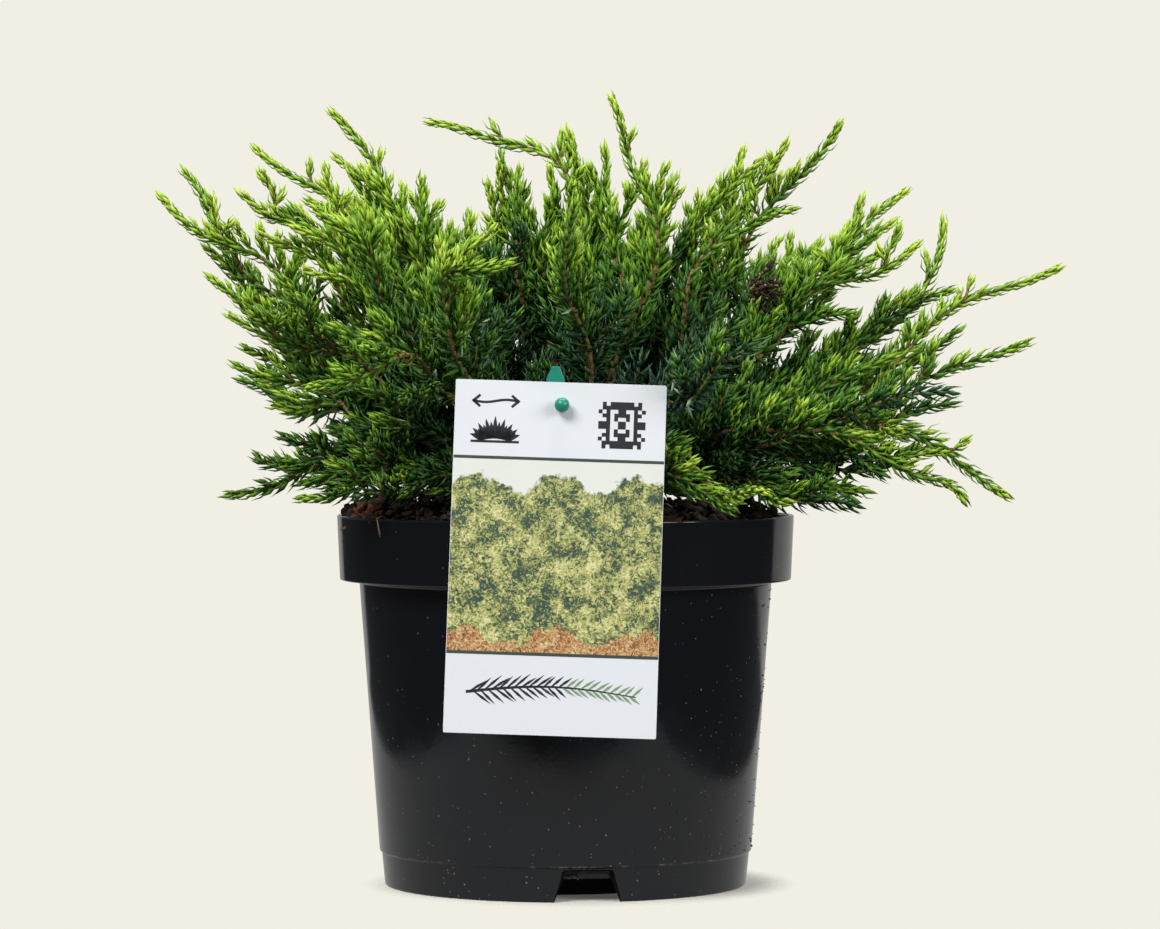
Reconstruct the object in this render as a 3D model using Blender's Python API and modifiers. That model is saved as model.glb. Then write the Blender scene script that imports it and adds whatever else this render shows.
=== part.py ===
"""Potted repanda common juniper: a low spreading conifer in its nursery pot.

Metres, +Z up. The origin is on the pot's axis at the level the pot stands on,
and the front, where the label hangs, looks along -Y. Headings are degrees
counter-clockwise from +X, and a reach is the distance from the pot's axis.
"""

import math
import random
from collections import namedtuple

import bmesh
import bpy
import numpy as np
from mathutils import Matrix, Quaternion, Vector

MODEL_NAME = "potted_repanda_juniper"

# Clearance between pieces that touch
GAP = 0.0003

# Pot: a thin-walled round container with a deep rim band and a stepped foot
POT_STEPS = 32
POT_HEIGHT = 0.1375
WALL = 0.0016
RIM_RADIUS = 0.0851
BAND_FOOT_RADIUS = 0.0840
BAND_FOOT_HEIGHT = 0.1135
SHOULDER_RADIUS = 0.0768
SHOULDER_HEIGHT = 0.1126
FOOT_LINE_RADIUS = 0.0693
FOOT_LINE_HEIGHT = 0.0128
FOOT_STEP = 0.0008
FOOT_RADIUS = 0.0673
CHANNEL_HEIGHT = 0.0080
HUB_RADIUS = 0.0420
HUB_SLOPE = 0.0020

# Drain notches in the foot
NOTCH_HEADINGS = (277, 37, 157)
NOTCH_HEIGHT = 0.0108
NOTCH_FOOT_WIDTH = 0.0240
NOTCH_TOP_WIDTH = 0.0154
NOTCH_DEPTH = 0.0120

# Soil, mounded a little over the rim
SOIL_EDGE_HEIGHT = 0.1342
SOIL_TOP_HEIGHT = 0.1444
SOIL_RINGS = 3

# Short stem that carries the boughs
STEM_FOOT_HEIGHT = SOIL_TOP_HEIGHT + GAP
STEM_HEIGHT = 0.0230
STEM_FLARE_RADIUS = 0.0098
STEM_RADIUS = 0.0072
STEM_TOP_RADIUS = 0.0052
STEM_STEPS = 10

# Boughs taper from the stem to where they enter a mass
BOUGH_FOOT_RADIUS = 0.0023
BOUGH_TIP_RADIUS = 0.0012
BOUGH_POINTS = 6
BOUGH_TIERS = (0.0048, 0.0140)
BOUGH_LEAVING_SHARE = 0.45
BOUGH_BEND_SHARE = 0.50
MASS_STATION = 0.0100

# Leaders: how strongly each one bends from the way it leaves its bough
TIP_LEADER_BEND = 0.42
SIDE_LEADER_BEND = 0.20
SIDE_LEADER_RUN = 0.30
LEADER_LEAST_RISE = 0.0020

# Foliage: each mass is a leader with side shoots, all set with needles
SIDE_SHOOTS = 4
SIDE_FIRST = 0.12
SIDE_LAST = 0.74
SIDE_LONGEST = 0.50
SIDE_SHORTEST = 0.24
SIDE_ANGLE = math.radians(42)
SIDE_ANGLE_SPREAD = math.radians(8)
SIDE_LIFT = 0.20
SIDE_LEAST_LENGTH = 0.013
SIDE_TURNS = 5
GOLDEN_TURN = math.radians(137.5)
LEADER_BARE = 0.008
SIDE_BARE = 0.005
WHORL_PITCH = 0.0130
TWIG_RADIUS = 0.0009
CORE_RADIUS = 0.0020
CORE_END_RADIUS = 0.0012
NEEDLE_OUT = 0.0062
NEEDLE_FORWARD = 0.0058
END_NEEDLE_SHARE = 0.55
SPACE_MARGIN = 0.0010
LIMB_MARGIN = 0.0008

# Label card, which hangs on a peg and leans out over the rim
CARD_WIDTH = 0.0750
CARD_HEIGHT = 0.1260
CARD_THICKNESS = 0.0006
CARD_CORNER = 0.0012
CARD_CENTRE = Vector((-0.0033, -0.0881, 0.1247))
CARD_LEAN = math.radians(9.1)
CARD_TURN = math.radians(1.9)
CARD_HOLE_RADIUS = 0.0019
CARD_HOLE_DROP = 0.0080
CARD_CLEARANCE = 0.0030

# Label holder: a flat stake with a wedge head and a ball-ended peg
STAKE_WIDTH = 0.0060
STAKE_TIP_WIDTH = 0.0024
STAKE_THICKNESS = 0.0022
STAKE_CENTRE_Y = -0.0758
STAKE_FOOT_HEIGHT = 0.1200
STAKE_POINT = 0.0080
STAKE_HEAD_HEIGHT = 0.1880
STAKE_TOP_HEIGHT = 0.1924
PEG_RADIUS = 0.0015
BALL_RADIUS = 0.0027
BALL_STEPS = 10
BALL_RINGS = 5

# Boughs: the tier of the stem each one leaves, then the heading, reach and height of its tip
Bough = namedtuple("Bough", "tier heading reach height")
BOUGHS = {
    "left_outer": Bough(1, 187, 0.060, 0.186),
    "left_plume": Bough(1, 209, 0.052, 0.190),
    "left_tall": Bough(1, 172, 0.034, 0.196),
    "left_low": Bough(0, 197, 0.050, 0.162),
    "left_front": Bough(0, 231, 0.050, 0.176),
    "centre_rear": Bough(1, 112, 0.016, 0.201),
    "centre_tall": Bough(1, 305, 0.030, 0.192),
    "right_tall": Bough(1, 12, 0.033, 0.190),
    "right_mid": Bough(1, 353, 0.052, 0.183),
    "right_outer": Bough(0, 0, 0.062, 0.170),
    "right_low": Bough(0, 326, 0.055, 0.163),
    "right_front": Bough(0, 310, 0.052, 0.162),
    "back_left": Bough(0, 142, 0.050, 0.179),
    "back_middle": Bough(0, 88, 0.046, 0.178),
    "back_right": Bough(0, 42, 0.050, 0.178),
}

# Tips of the masses of foliage. The first one on a bough goes on from its tip
Mass = namedtuple("Mass", "bough heading reach height")
MASSES = {
    "left_outer_tip": Mass("left_outer", 187, 0.1515, 0.2566),
    "left_outer_rise": Mass("left_outer", 175, 0.1450, 0.2671),
    "left_outer_low": Mass("left_outer", 197, 0.1370, 0.2259),
    "left_plume_tip": Mass("left_plume", 204, 0.1300, 0.2564),
    "left_plume_front": Mass("left_plume", 222, 0.1220, 0.2500),
    "left_tall_top": Mass("left_tall", 180, 0.0885, 0.2890),
    "left_tall_long": Mass("left_tall", 170, 0.1200, 0.2760),
    "left_tall_inner": Mass("left_tall", 200, 0.0560, 0.2640),
    "left_low_tip": Mass("left_low", 190, 0.1250, 0.1943),
    "left_low_hang": Mass("left_low", 195, 0.1300, 0.1455),
    "left_low_front": Mass("left_low", 214, 0.1170, 0.1450),
    "left_front_low": Mass("left_front", 229, 0.1400, 0.1844),
    "left_front_cross": Mass("left_front", 261, 0.1110, 0.2294),
    "centre_rear_arch": Mass("centre_rear", 171, 0.0530, 0.2842),
    "centre_rear_small": Mass("centre_rear", 87, 0.0280, 0.2822),
    "centre_tall_top": Mass("centre_tall", 302, 0.0296, 0.2928),
    "centre_tall_right": Mass("centre_tall", 338, 0.0410, 0.2682),
    "centre_front_up": Mass("centre_tall", 273, 0.0800, 0.2536),
    "right_tall_left": Mass("right_tall", 356, 0.0670, 0.2750),
    "right_tall_top": Mass("right_tall", 7, 0.1044, 0.2851),
    "right_mid_tip": Mass("right_mid", 7, 0.1300, 0.2597),
    "right_mid_low": Mass("right_mid", 352, 0.1330, 0.2383),
    "right_mid_front": Mass("right_mid", 336, 0.0930, 0.2500),
    "right_outer_far": Mass("right_outer", 358, 0.1850, 0.2304),
    "right_outer_rise": Mass("right_outer", 7, 0.1430, 0.2497),
    "right_outer_low": Mass("right_outer", 350, 0.1740, 0.2024),
    "right_low_level": Mass("right_low", 336, 0.1550, 0.1835),
    "right_low_droop": Mass("right_low", 337, 0.1740, 0.1450),
    "right_low_hang": Mass("right_low", 330, 0.1230, 0.1415),
    "right_front_bright": Mass("right_front", 303, 0.1330, 0.1480),
    "right_front_up": Mass("right_front", 304, 0.1230, 0.2001),
    "back_left_rise": Mass("back_left", 140, 0.1260, 0.2460),
    "back_left_low": Mass("back_left", 150, 0.1480, 0.1880),
    "back_middle_rise": Mass("back_middle", 92, 0.1080, 0.2500),
    "back_middle_low": Mass("back_middle", 104, 0.1320, 0.1930),
    "back_middle_side": Mass("back_middle", 72, 0.1360, 0.1900),
    "back_right_rise": Mass("back_right", 40, 0.1300, 0.2420),
    "back_right_low": Mass("back_right", 34, 0.1540, 0.1840),
}

# Base colours, roughness and metallic value of each material
FINISHES = {
    "pot": ("131517", 0.32, 0.0),
    "soil": ("2B1F16", 0.95, 0.0),
    "bark": ("6A4A30", 0.85, 0.0),
    "foliage": ("4C7F22", 0.60, 0.0),
    "label_card": ("E9EAE8", 0.35, 0.0),
    "label_holder": ("1E8C76", 0.35, 0.0),
}


def clear_scene():
    """Remove whatever the scene already holds."""
    for scene_object in list(bpy.data.objects):
        bpy.data.objects.remove(scene_object, do_unlink=True)


def make_collection(name):
    """A collection linked to the scene."""
    collection = bpy.data.collections.new(name)
    bpy.context.scene.collection.children.link(collection)
    return collection


def linear(channel):
    """One sRGB channel, 0 to 1, as a linear value."""
    if channel <= 0.04045:
        return channel / 12.92
    return ((channel + 0.055) / 1.055) ** 2.4


def make_material(name, finish):
    """A Principled material of the finish's colour, roughness and metallic value."""
    colour, roughness, metallic = FINISHES[finish]
    channels = [linear(int(colour[i : i + 2], 16) / 255) for i in (0, 2, 4)]
    material = bpy.data.materials.new(name)
    material.use_nodes = True
    shader = material.node_tree.nodes["Principled BSDF"]
    shader.inputs["Base Color"].default_value = (*channels, 1.0)
    shader.inputs["Roughness"].default_value = roughness
    shader.inputs["Metallic"].default_value = metallic
    return material


def add_object(name, data, collection, finish=None):
    """An object in the collection, with its own material where it has a finish."""
    new_object = bpy.data.objects.new(name, data)
    collection.objects.link(new_object)
    if finish:
        data.materials.append(make_material(f"{name}_{finish}", finish))
    return new_object


def mesh_from(name, vertices, faces):
    """A mesh of the given vertices and faces."""
    mesh = bpy.data.meshes.new(name)
    mesh.from_pydata([tuple(v) for v in vertices], [], faces)
    mesh.update()
    return mesh


def evaluated_mesh(source):
    """The object's mesh with its modifiers applied, its loose caps welded."""
    graph = bpy.context.evaluated_depsgraph_get()
    mesh = bpy.data.meshes.new_from_object(source.evaluated_get(graph))
    shape = bmesh.new()
    shape.from_mesh(mesh)
    bmesh.ops.remove_doubles(shape, verts=shape.verts, dist=1e-6)
    shape.to_mesh(mesh)
    shape.free()
    return mesh


def turned(name, profile, steps, collection, finish=None):
    """Turn a profile of (radius, height) points about Z with a Screw modifier."""
    mesh = bpy.data.meshes.new(name)
    edges = [(i, i + 1) for i in range(len(profile) - 1)]
    if profile[0][0] > 0 and profile[-1][0] > 0:
        edges.append((len(profile) - 1, 0))
    mesh.from_pydata([(radius, 0.0, height) for radius, height in profile], edges, [])
    piece = add_object(name, mesh, collection, finish)
    screw = piece.modifiers.new("turn", "SCREW")
    screw.steps = steps
    screw.render_steps = steps
    screw.use_merge_vertices = True
    screw.merge_threshold = 0.00001
    screw.use_smooth_shade = True
    return piece


def hide_cutter(cutter):
    """Mark an object as a cutter that is not part of the model."""
    cutter.hide_render = True
    cutter.display_type = "WIRE"


def cut_away(piece, cutter):
    """Take the cutter's shape out of the piece."""
    cut = piece.modifiers.new("cut", "BOOLEAN")
    cut.operation = "DIFFERENCE"
    cut.object = cutter


def inner_radius(height):
    """Inner radius of the pot's body wall at a height above the foot line."""
    share = (height - FOOT_LINE_HEIGHT) / (SHOULDER_HEIGHT - FOOT_LINE_HEIGHT)
    return FOOT_LINE_RADIUS + share * (SHOULDER_RADIUS - FOOT_LINE_RADIUS) - WALL


def pot_profile():
    """Outline of the pot's wall, down the outer side and up the inner side."""
    edge = 0.0005
    channel_top = CHANNEL_HEIGHT + WALL
    outer = [
        (RIM_RADIUS - WALL / 2, POT_HEIGHT),
        (RIM_RADIUS, POT_HEIGHT - edge),
        (BAND_FOOT_RADIUS, BAND_FOOT_HEIGHT + edge),
        (BAND_FOOT_RADIUS - edge, BAND_FOOT_HEIGHT),
        (SHOULDER_RADIUS, SHOULDER_HEIGHT),
        (FOOT_LINE_RADIUS, FOOT_LINE_HEIGHT),
        (FOOT_LINE_RADIUS - FOOT_STEP, FOOT_LINE_HEIGHT - edge),
        (FOOT_RADIUS, 3 * edge),
        (FOOT_RADIUS - 2 * edge, 0.0),
    ]
    under = [
        (FOOT_RADIUS - WALL - edge, 0.0),
        (FOOT_RADIUS - WALL, CHANNEL_HEIGHT),
        (HUB_RADIUS + HUB_SLOPE, CHANNEL_HEIGHT),
        (HUB_RADIUS, 0.0),
        (0.0, 0.0),
    ]
    inner = [
        (0.0, WALL),
        (HUB_RADIUS - WALL, WALL),
        (HUB_RADIUS + HUB_SLOPE - WALL, channel_top),
        (FOOT_RADIUS - WALL / 2, channel_top),
        (inner_radius(FOOT_LINE_HEIGHT), FOOT_LINE_HEIGHT + edge),
        (inner_radius(SHOULDER_HEIGHT), SHOULDER_HEIGHT),
        (SHOULDER_RADIUS - WALL, BAND_FOOT_HEIGHT + WALL),
        (BAND_FOOT_RADIUS - WALL, BAND_FOOT_HEIGHT + WALL + edge),
        (RIM_RADIUS - WALL, POT_HEIGHT - edge),
    ]
    return outer, under, inner


def make_notch_cutter(heading, cutters):
    """A tapered block that cuts one drain notch through the foot."""
    below = 0.001
    slope = (NOTCH_FOOT_WIDTH - NOTCH_TOP_WIDTH) / 2 / NOTCH_HEIGHT
    low = NOTCH_FOOT_WIDTH / 2 + slope * below
    high = NOTCH_TOP_WIDTH / 2
    shape = bmesh.new()
    bmesh.ops.create_cube(shape, size=1.0)
    for corner in shape.verts:
        half_width = high if corner.co.z > 0 else low
        corner.co.x *= NOTCH_DEPTH
        corner.co.y = math.copysign(half_width, corner.co.y)
        corner.co.z = NOTCH_HEIGHT if corner.co.z > 0 else -below
    mesh = bpy.data.meshes.new(f"notch_cutter_{heading}")
    shape.to_mesh(mesh)
    shape.free()
    cutter = add_object(f"notch_cutter_{heading}", mesh, cutters)
    angle = math.radians(heading)
    cutter.location = (FOOT_RADIUS * math.cos(angle), FOOT_RADIUS * math.sin(angle), 0.0)
    cutter.rotation_euler.z = angle
    hide_cutter(cutter)
    return cutter


def make_pot(collection, cutters):
    """The pot: wall, rim band, foot and a floor with a raised drain channel."""
    outer, under, inner = pot_profile()
    loop = outer + under + inner
    start = loop.index((0.0, WALL))
    profile = loop[start:] + loop[:start]
    pot = turned("pot", profile, POT_STEPS, collection, "pot")
    for heading in NOTCH_HEADINGS:
        cut_away(pot, make_notch_cutter(heading, cutters))
    return pot


def soil_height(radius):
    """Height of the mounded soil at a distance from the pot's axis."""
    edge = RIM_RADIUS - WALL - GAP
    return SOIL_TOP_HEIGHT - (SOIL_TOP_HEIGHT - SOIL_EDGE_HEIGHT) * (radius / edge) ** 2


def soil_profile():
    """Outline of the soil, from the mound's top down the pot's inner side."""
    gap = 1.5 * GAP
    edge = RIM_RADIUS - WALL - 2 * gap
    mound = []
    for ring in range(SOIL_RINGS + 1):
        radius = edge * ring / SOIL_RINGS
        mound.append((radius, soil_height(radius)))
    _, _, inner = pot_profile()
    walls = []
    for radius, height in reversed(inner[:-1]):
        walls.append((max(radius - gap, 0.0), height + gap))
    return mound + walls


def make_soil(collection, cutters):
    """The root ball and soil that fill the pot, with a slot for the stake."""
    soil = turned("soil", soil_profile(), POT_STEPS, collection, "soil")
    shape = bmesh.new()
    bmesh.ops.create_cube(shape, size=1.0)
    slot_height = SOIL_TOP_HEIGHT - STAKE_FOOT_HEIGHT + 4 * GAP
    size = (STAKE_WIDTH + 2 * GAP, STAKE_THICKNESS + 2 * GAP, slot_height)
    bmesh.ops.scale(shape, vec=size, verts=shape.verts)
    mesh = bpy.data.meshes.new("stake_slot_cutter")
    shape.to_mesh(mesh)
    shape.free()
    cutter = add_object("stake_slot_cutter", mesh, cutters)
    slot_foot = STAKE_FOOT_HEIGHT - 2 * GAP
    cutter.location = (CARD_CENTRE.x, STAKE_CENTRE_Y, slot_foot + slot_height / 2)
    hide_cutter(cutter)
    cut_away(soil, cutter)
    return soil


def stem_radius(height):
    """Radius of the stem at a height above its foot."""
    share = height / STEM_HEIGHT
    flare = (STEM_FLARE_RADIUS - STEM_RADIUS) * max(0.0, 1 - 4 * share) ** 2
    return STEM_RADIUS + (STEM_TOP_RADIUS - STEM_RADIUS) * share + flare


def make_stem(collection):
    """The short stem, flared at the soil and rounded at its crown."""
    rings = 8
    profile = [(0.0, STEM_HEIGHT)]
    for ring in range(rings + 1):
        height = (STEM_HEIGHT - STEM_TOP_RADIUS / 3) * (1 - ring / rings)
        profile.append((stem_radius(height), height))
    profile.append((0.0, 0.0))
    stem = turned("stem", profile, STEM_STEPS, collection, "bark")
    stem.location.z = STEM_FOOT_HEIGHT
    return stem


def place(heading, reach, height):
    """The point at a heading, a reach from the axis and a height."""
    angle = math.radians(heading)
    return Vector((reach * math.cos(angle), reach * math.sin(angle), height))


def curve_points(start, bend, end, count):
    """Points along a curve that leaves start towards bend and arrives at end."""
    points = []
    for i in range(count):
        t = i / (count - 1)
        points.append((1 - t) ** 2 * start + 2 * t * (1 - t) * bend + t * t * end)
    return points


def foot_headings():
    """Heading at which each bough leaves the stem, spread evenly round its tier."""
    headings = {}
    for tier in range(len(BOUGH_TIERS)):
        names = [name for name, bough in BOUGHS.items() if bough.tier == tier]
        names.sort(key=lambda name: BOUGHS[name].heading)
        even = [360 * i / len(names) for i in range(len(names))]
        offset = sum(BOUGHS[name].heading - turn for name, turn in zip(names, even)) / len(names)
        for name, turn in zip(names, even):
            headings[name] = turn + offset
    return headings


def bough_points(bough, foot_heading):
    """Centre line of a bough, from beside the stem to its tip."""
    tip = place(bough.heading, bough.reach, bough.height)
    elevation = math.atan2(bough.height - STEM_FOOT_HEIGHT, bough.reach)
    leaving = BOUGH_LEAVING_SHARE * elevation
    foot = BOUGH_TIERS[bough.tier]
    clear = stem_radius(foot) + GAP + BOUGH_FOOT_RADIUS * math.sin(leaving)
    start = place(foot_heading, clear, STEM_FOOT_HEIGHT + foot)
    out = place(foot_heading, math.cos(leaving), math.sin(leaving))
    bend = start + out * (tip - start).length * BOUGH_BEND_SHARE
    return curve_points(start, bend, tip, BOUGH_POINTS)


def line_length(line):
    """Length along a line of points."""
    return sum((after - before).length for before, after in zip(line, line[1:]))


def bough_radius(share):
    """Radius of a bough at a share of its length."""
    return BOUGH_FOOT_RADIUS + (BOUGH_TIP_RADIUS - BOUGH_FOOT_RADIUS) * share


def make_bough(name, points, collection):
    """One tapering limb as a tube along its centre line."""
    curve = bpy.data.curves.new(name, "CURVE")
    curve.dimensions = "3D"
    curve.bevel_depth = BOUGH_FOOT_RADIUS
    curve.bevel_resolution = 1
    curve.use_fill_caps = True
    spline = curve.splines.new("POLY")
    spline.points.add(len(points) - 1)
    for i, point in enumerate(points):
        spline.points[i].co = (*point, 1.0)
        spline.points[i].radius = bough_radius(i / (len(points) - 1)) / BOUGH_FOOT_RADIUS
    spline.use_smooth = True
    return add_object(name, curve, collection, "bark")


def leader_points(mass, bough_line, order):
    """Centre line of a mass's leader, from beside its bough to the mass's tip."""
    tip = place(mass.heading, mass.reach, mass.height)
    along = (bough_line[-1] - bough_line[-2]).normalized()
    if order == 0:
        start = bough_line[-1] + along * 1.5 * GAP
        bend = start + along * (tip - start).length * TIP_LEADER_BEND
    else:
        back = MASS_STATION * order
        station = bough_line[-1] - along * back
        share = 1 - back / line_length(bough_line)
        aside = tip - station
        aside = (aside - aside.project(along)).normalized()
        start = station + aside * (bough_radius(share) + GAP + TWIG_RADIUS)
        chord = tip - start
        bend = start + aside * chord.length * SIDE_LEADER_BEND + chord * SIDE_LEADER_RUN
        bend.z = max(bend.z, start.z + LEADER_LEAST_RISE)
    count = max(6, round((tip - start).length / WHORL_PITCH) + 1)
    return curve_points(start, bend, tip, count)


def distances(points, line):
    """Distance from each point to the nearest place on a line of points."""
    starts = line[:-1]
    steps = line[1:] - starts
    offsets = points[:, None, :] - starts[None, :, :]
    shares = (offsets * steps).sum(axis=2) / (steps * steps).sum(axis=1)
    nearest = offsets - np.clip(shares, 0, 1)[:, :, None] * steps
    return np.sqrt((nearest * nearest).sum(axis=2)).min(axis=1)


def pot_clearance(points):
    """How far each point stays above the soil and clear of the pot's rim."""
    out = np.hypot(points[:, 0], points[:, 1])
    over_pot = points[:, 2] - np.maximum(POT_HEIGHT, soil_height(out))
    beside = out - RIM_RADIUS
    return np.maximum(over_pot, beside)


def label_clearance(points):
    """How far each point stays from the label's card, stake and the air before it."""
    side = np.abs(points[:, 0] - CARD_CENTRE.x) - CARD_WIDTH / 2
    over = points[:, 2] - STAKE_TOP_HEIGHT
    behind = points[:, 1] - STAKE_CENTRE_Y - STAKE_THICKNESS
    return np.maximum(np.maximum(side, over), behind) - CARD_CLEARANCE


class Spaces:
    """The space of each mass: nearer to its own leader than to any other."""

    def __init__(self, boughs, leaders):
        self.boughs = [np.array([tuple(p) for p in line]) for line in boughs.values()]
        self.leaders = {
            name: np.array([tuple(p) for p in line]) for name, line in leaders.items()
        }

    def allows(self, name, points, radius):
        """Which points keep the radius inside the mass's space and off the limbs."""
        points = np.array([tuple(p) for p in points])
        own = distances(points, self.leaders[name])
        fine = pot_clearance(points) > radius + LIMB_MARGIN
        fine &= label_clearance(points) > radius
        for other, line in self.leaders.items():
            if other != name:
                fine &= distances(points, line) - own > 2 * (radius + SPACE_MARGIN)
        for line in self.boughs:
            fine &= distances(points, line) > radius + BOUGH_FOOT_RADIUS + LIMB_MARGIN
        return fine


def side_axis(along, turn):
    """The direction square to a shoot, turned about it."""
    across = along.cross(Vector((0.0, 0.0, 1.0)))
    if across.length < 1e-3:
        across = Vector((1.0, 0.0, 0.0))
    return Quaternion(along, turn) @ across.normalized()


def side_shoot(root, along, turn, angle, length):
    """Centre line of one side shoot, which leaves the leader and lifts its tip."""
    out = along * math.cos(angle) + side_axis(along, turn) * math.sin(angle)
    bend = root + out * length / 2
    onward = (out + along / 2 + Vector((0, 0, SIDE_LIFT))).normalized()
    count = max(3, round(length / WHORL_PITCH) + 1)
    return curve_points(root, bend, bend + onward * length / 2, count)


def kept_part(spaces, name, shoot):
    """The shoot cut back to where it leaves its mass's space."""
    fine = spaces.allows(name, shoot, CORE_RADIUS)
    kept = 1
    while kept < len(shoot) and (fine[kept] or kept == 1):
        kept += 1
    return shoot[:kept]


def side_shoots(name, leader, spaces):
    """Side shoots that the seeded rule sets on a leader, each turned to where it has room."""
    rng = random.Random(name)
    leader_length = line_length(leader)
    turn = rng.uniform(0, math.tau)
    shoots = []
    for i in range(SIDE_SHOOTS):
        share = i / (SIDE_SHOOTS - 1)
        station = (SIDE_FIRST + (SIDE_LAST - SIDE_FIRST) * share) * (len(leader) - 1)
        low = int(station)
        root = leader[low].lerp(leader[low + 1], station - low)
        along = (leader[low + 1] - leader[low]).normalized()
        turn += GOLDEN_TURN
        angle = SIDE_ANGLE + rng.uniform(-1, 1) * SIDE_ANGLE_SPREAD
        size = SIDE_LONGEST + (SIDE_SHORTEST - SIDE_LONGEST) * share
        length = max(leader_length * size * rng.uniform(0.85, 1.15), SIDE_LEAST_LENGTH)
        tried = []
        for step in range(SIDE_TURNS):
            shoot = side_shoot(root, along, turn + math.tau * step / SIDE_TURNS, angle, length)
            tried.append(kept_part(spaces, name, shoot))
        best = max(tried, key=line_length)
        if line_length(best) >= SIDE_LEAST_LENGTH:
            shoots.append(best)
    return shoots


def spray_mesh(name, points, bare, spaces, mass_name):
    """A slim three-sided core along the points, with a whorl of needles a step."""
    length = line_length(points)
    rings = []
    frame = side_axis((points[1] - points[0]).normalized(), 0.0)
    travelled = 0.0
    for i, point in enumerate(points[:-1]):
        along = (points[i + 1] - points[max(i - 1, 0)]).normalized()
        frame = (frame - frame.project(along)).normalized()
        if i:
            travelled += (point - points[i - 1]).length
        share = travelled / length
        radius = CORE_RADIUS + (CORE_END_RADIUS - CORE_RADIUS) * share
        if travelled < bare:
            radius = TWIG_RADIUS
        ring = []
        for corner in range(3):
            turn = Quaternion(along, math.tau * corner / 3 + math.pi / 3 * i)
            ring.append(point + (turn @ frame) * radius)
        rings.append((ring, along, travelled))
    vertices = [corner for ring, _, _ in rings for corner in ring]
    faces = [(2, 1, 0)]
    needles = []
    for band in range(len(rings) - 1):
        low = 3 * band
        high = low + 3
        along = rings[band][1]
        share = 1 - (1 - END_NEEDLE_SHARE) * rings[band + 1][2] / length
        for corner in range(3):
            after = (corner + 1) % 3
            faces.append((low + after, high + after, high + corner))
            base = (low + corner, low + after, high + corner)
            if rings[band + 1][2] < bare:
                faces.append(base)
                continue
            middle = (vertices[base[0]] + vertices[base[1]] + vertices[base[2]]) / 3
            centre = (points[band] + points[band + 1]) / 2
            out = middle - centre
            out = (out - out.project(along)).normalized()
            reach = out * NEEDLE_OUT * share + along * NEEDLE_FORWARD
            needles.append((base, middle + reach))
    if needles:
        allowed = spaces.allows(mass_name, [tip for _, tip in needles], 0.0)
        for (base, tip), fine in zip(needles, allowed):
            if not fine:
                faces.append(base)
                continue
            vertices.append(tip)
            apex = len(vertices) - 1
            for i in range(3):
                faces.append((base[i], base[(i + 1) % 3], apex))
    vertices.append(points[-1])
    last = 3 * (len(rings) - 1)
    for corner in range(3):
        faces.append((last + corner, last + (corner + 1) % 3, len(vertices) - 1))
    return mesh_from(name, vertices, faces)


def largest_body(mesh):
    """Keep the mesh's main body: sealed hollows are filled and scraps dropped."""
    shape = bmesh.new()
    shape.from_mesh(mesh)
    left = set(shape.verts)
    bodies = []
    while left:
        body = {left.pop()}
        front = list(body)
        while front:
            vertex = front.pop()
            for edge in vertex.link_edges:
                other = edge.other_vert(vertex)
                if other in left:
                    left.discard(other)
                    body.add(other)
                    front.append(other)
        bodies.append(body)
    bodies.sort(key=len)
    scraps = [vertex for body in bodies[:-1] for vertex in body]
    bmesh.ops.delete(shape, geom=scraps, context="VERTS")
    bmesh.ops.triangulate(shape, faces=shape.faces)
    shape.to_mesh(mesh)
    shape.free()


def make_mass(name, leader, spaces, collection):
    """One mass of foliage: its leader and side shoots joined into one solid."""
    mesh = spray_mesh(name, leader, LEADER_BARE, spaces, name)
    mass = add_object(name, mesh, collection)
    shoots = bpy.data.collections.new(f"{name}_shoots")
    for i, shoot in enumerate(side_shoots(name, leader, spaces)):
        part = spray_mesh(f"{name}_shoot_{i}", shoot, SIDE_BARE, spaces, name)
        add_object(f"{name}_shoot_{i}", part, shoots)
    bpy.context.scene.collection.children.link(shoots)
    if shoots.objects:
        union = mass.modifiers.new("union", "BOOLEAN")
        union.operation = "UNION"
        union.operand_type = "COLLECTION"
        union.collection = shoots
        union.solver = "MANIFOLD"
        joined = evaluated_mesh(mass)
        mass.modifiers.clear()
        mass.data = joined
        bpy.data.meshes.remove(mesh)
    for part in list(shoots.objects):
        bpy.data.objects.remove(part, do_unlink=True)
    bpy.data.collections.remove(shoots)
    largest_body(mass.data)
    mass.data.name = name
    mass.data.materials.append(make_material(f"{name}_foliage", "foliage"))
    return mass


def card_frame():
    """Placing of the label card: leaning back, and turned a little in its plane."""
    lean = Matrix.Rotation(-CARD_LEAN, 4, "X")
    turn = Matrix.Rotation(CARD_TURN, 4, "Y")
    stand = Matrix.Rotation(math.radians(90), 4, "X")
    return Matrix.Translation(CARD_CENTRE) @ lean @ turn @ stand


def hole_centre():
    """Middle of the card's hole in the card's own plane."""
    return Vector((0.0005, CARD_HEIGHT / 2 - CARD_HOLE_DROP, 0.0))


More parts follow.
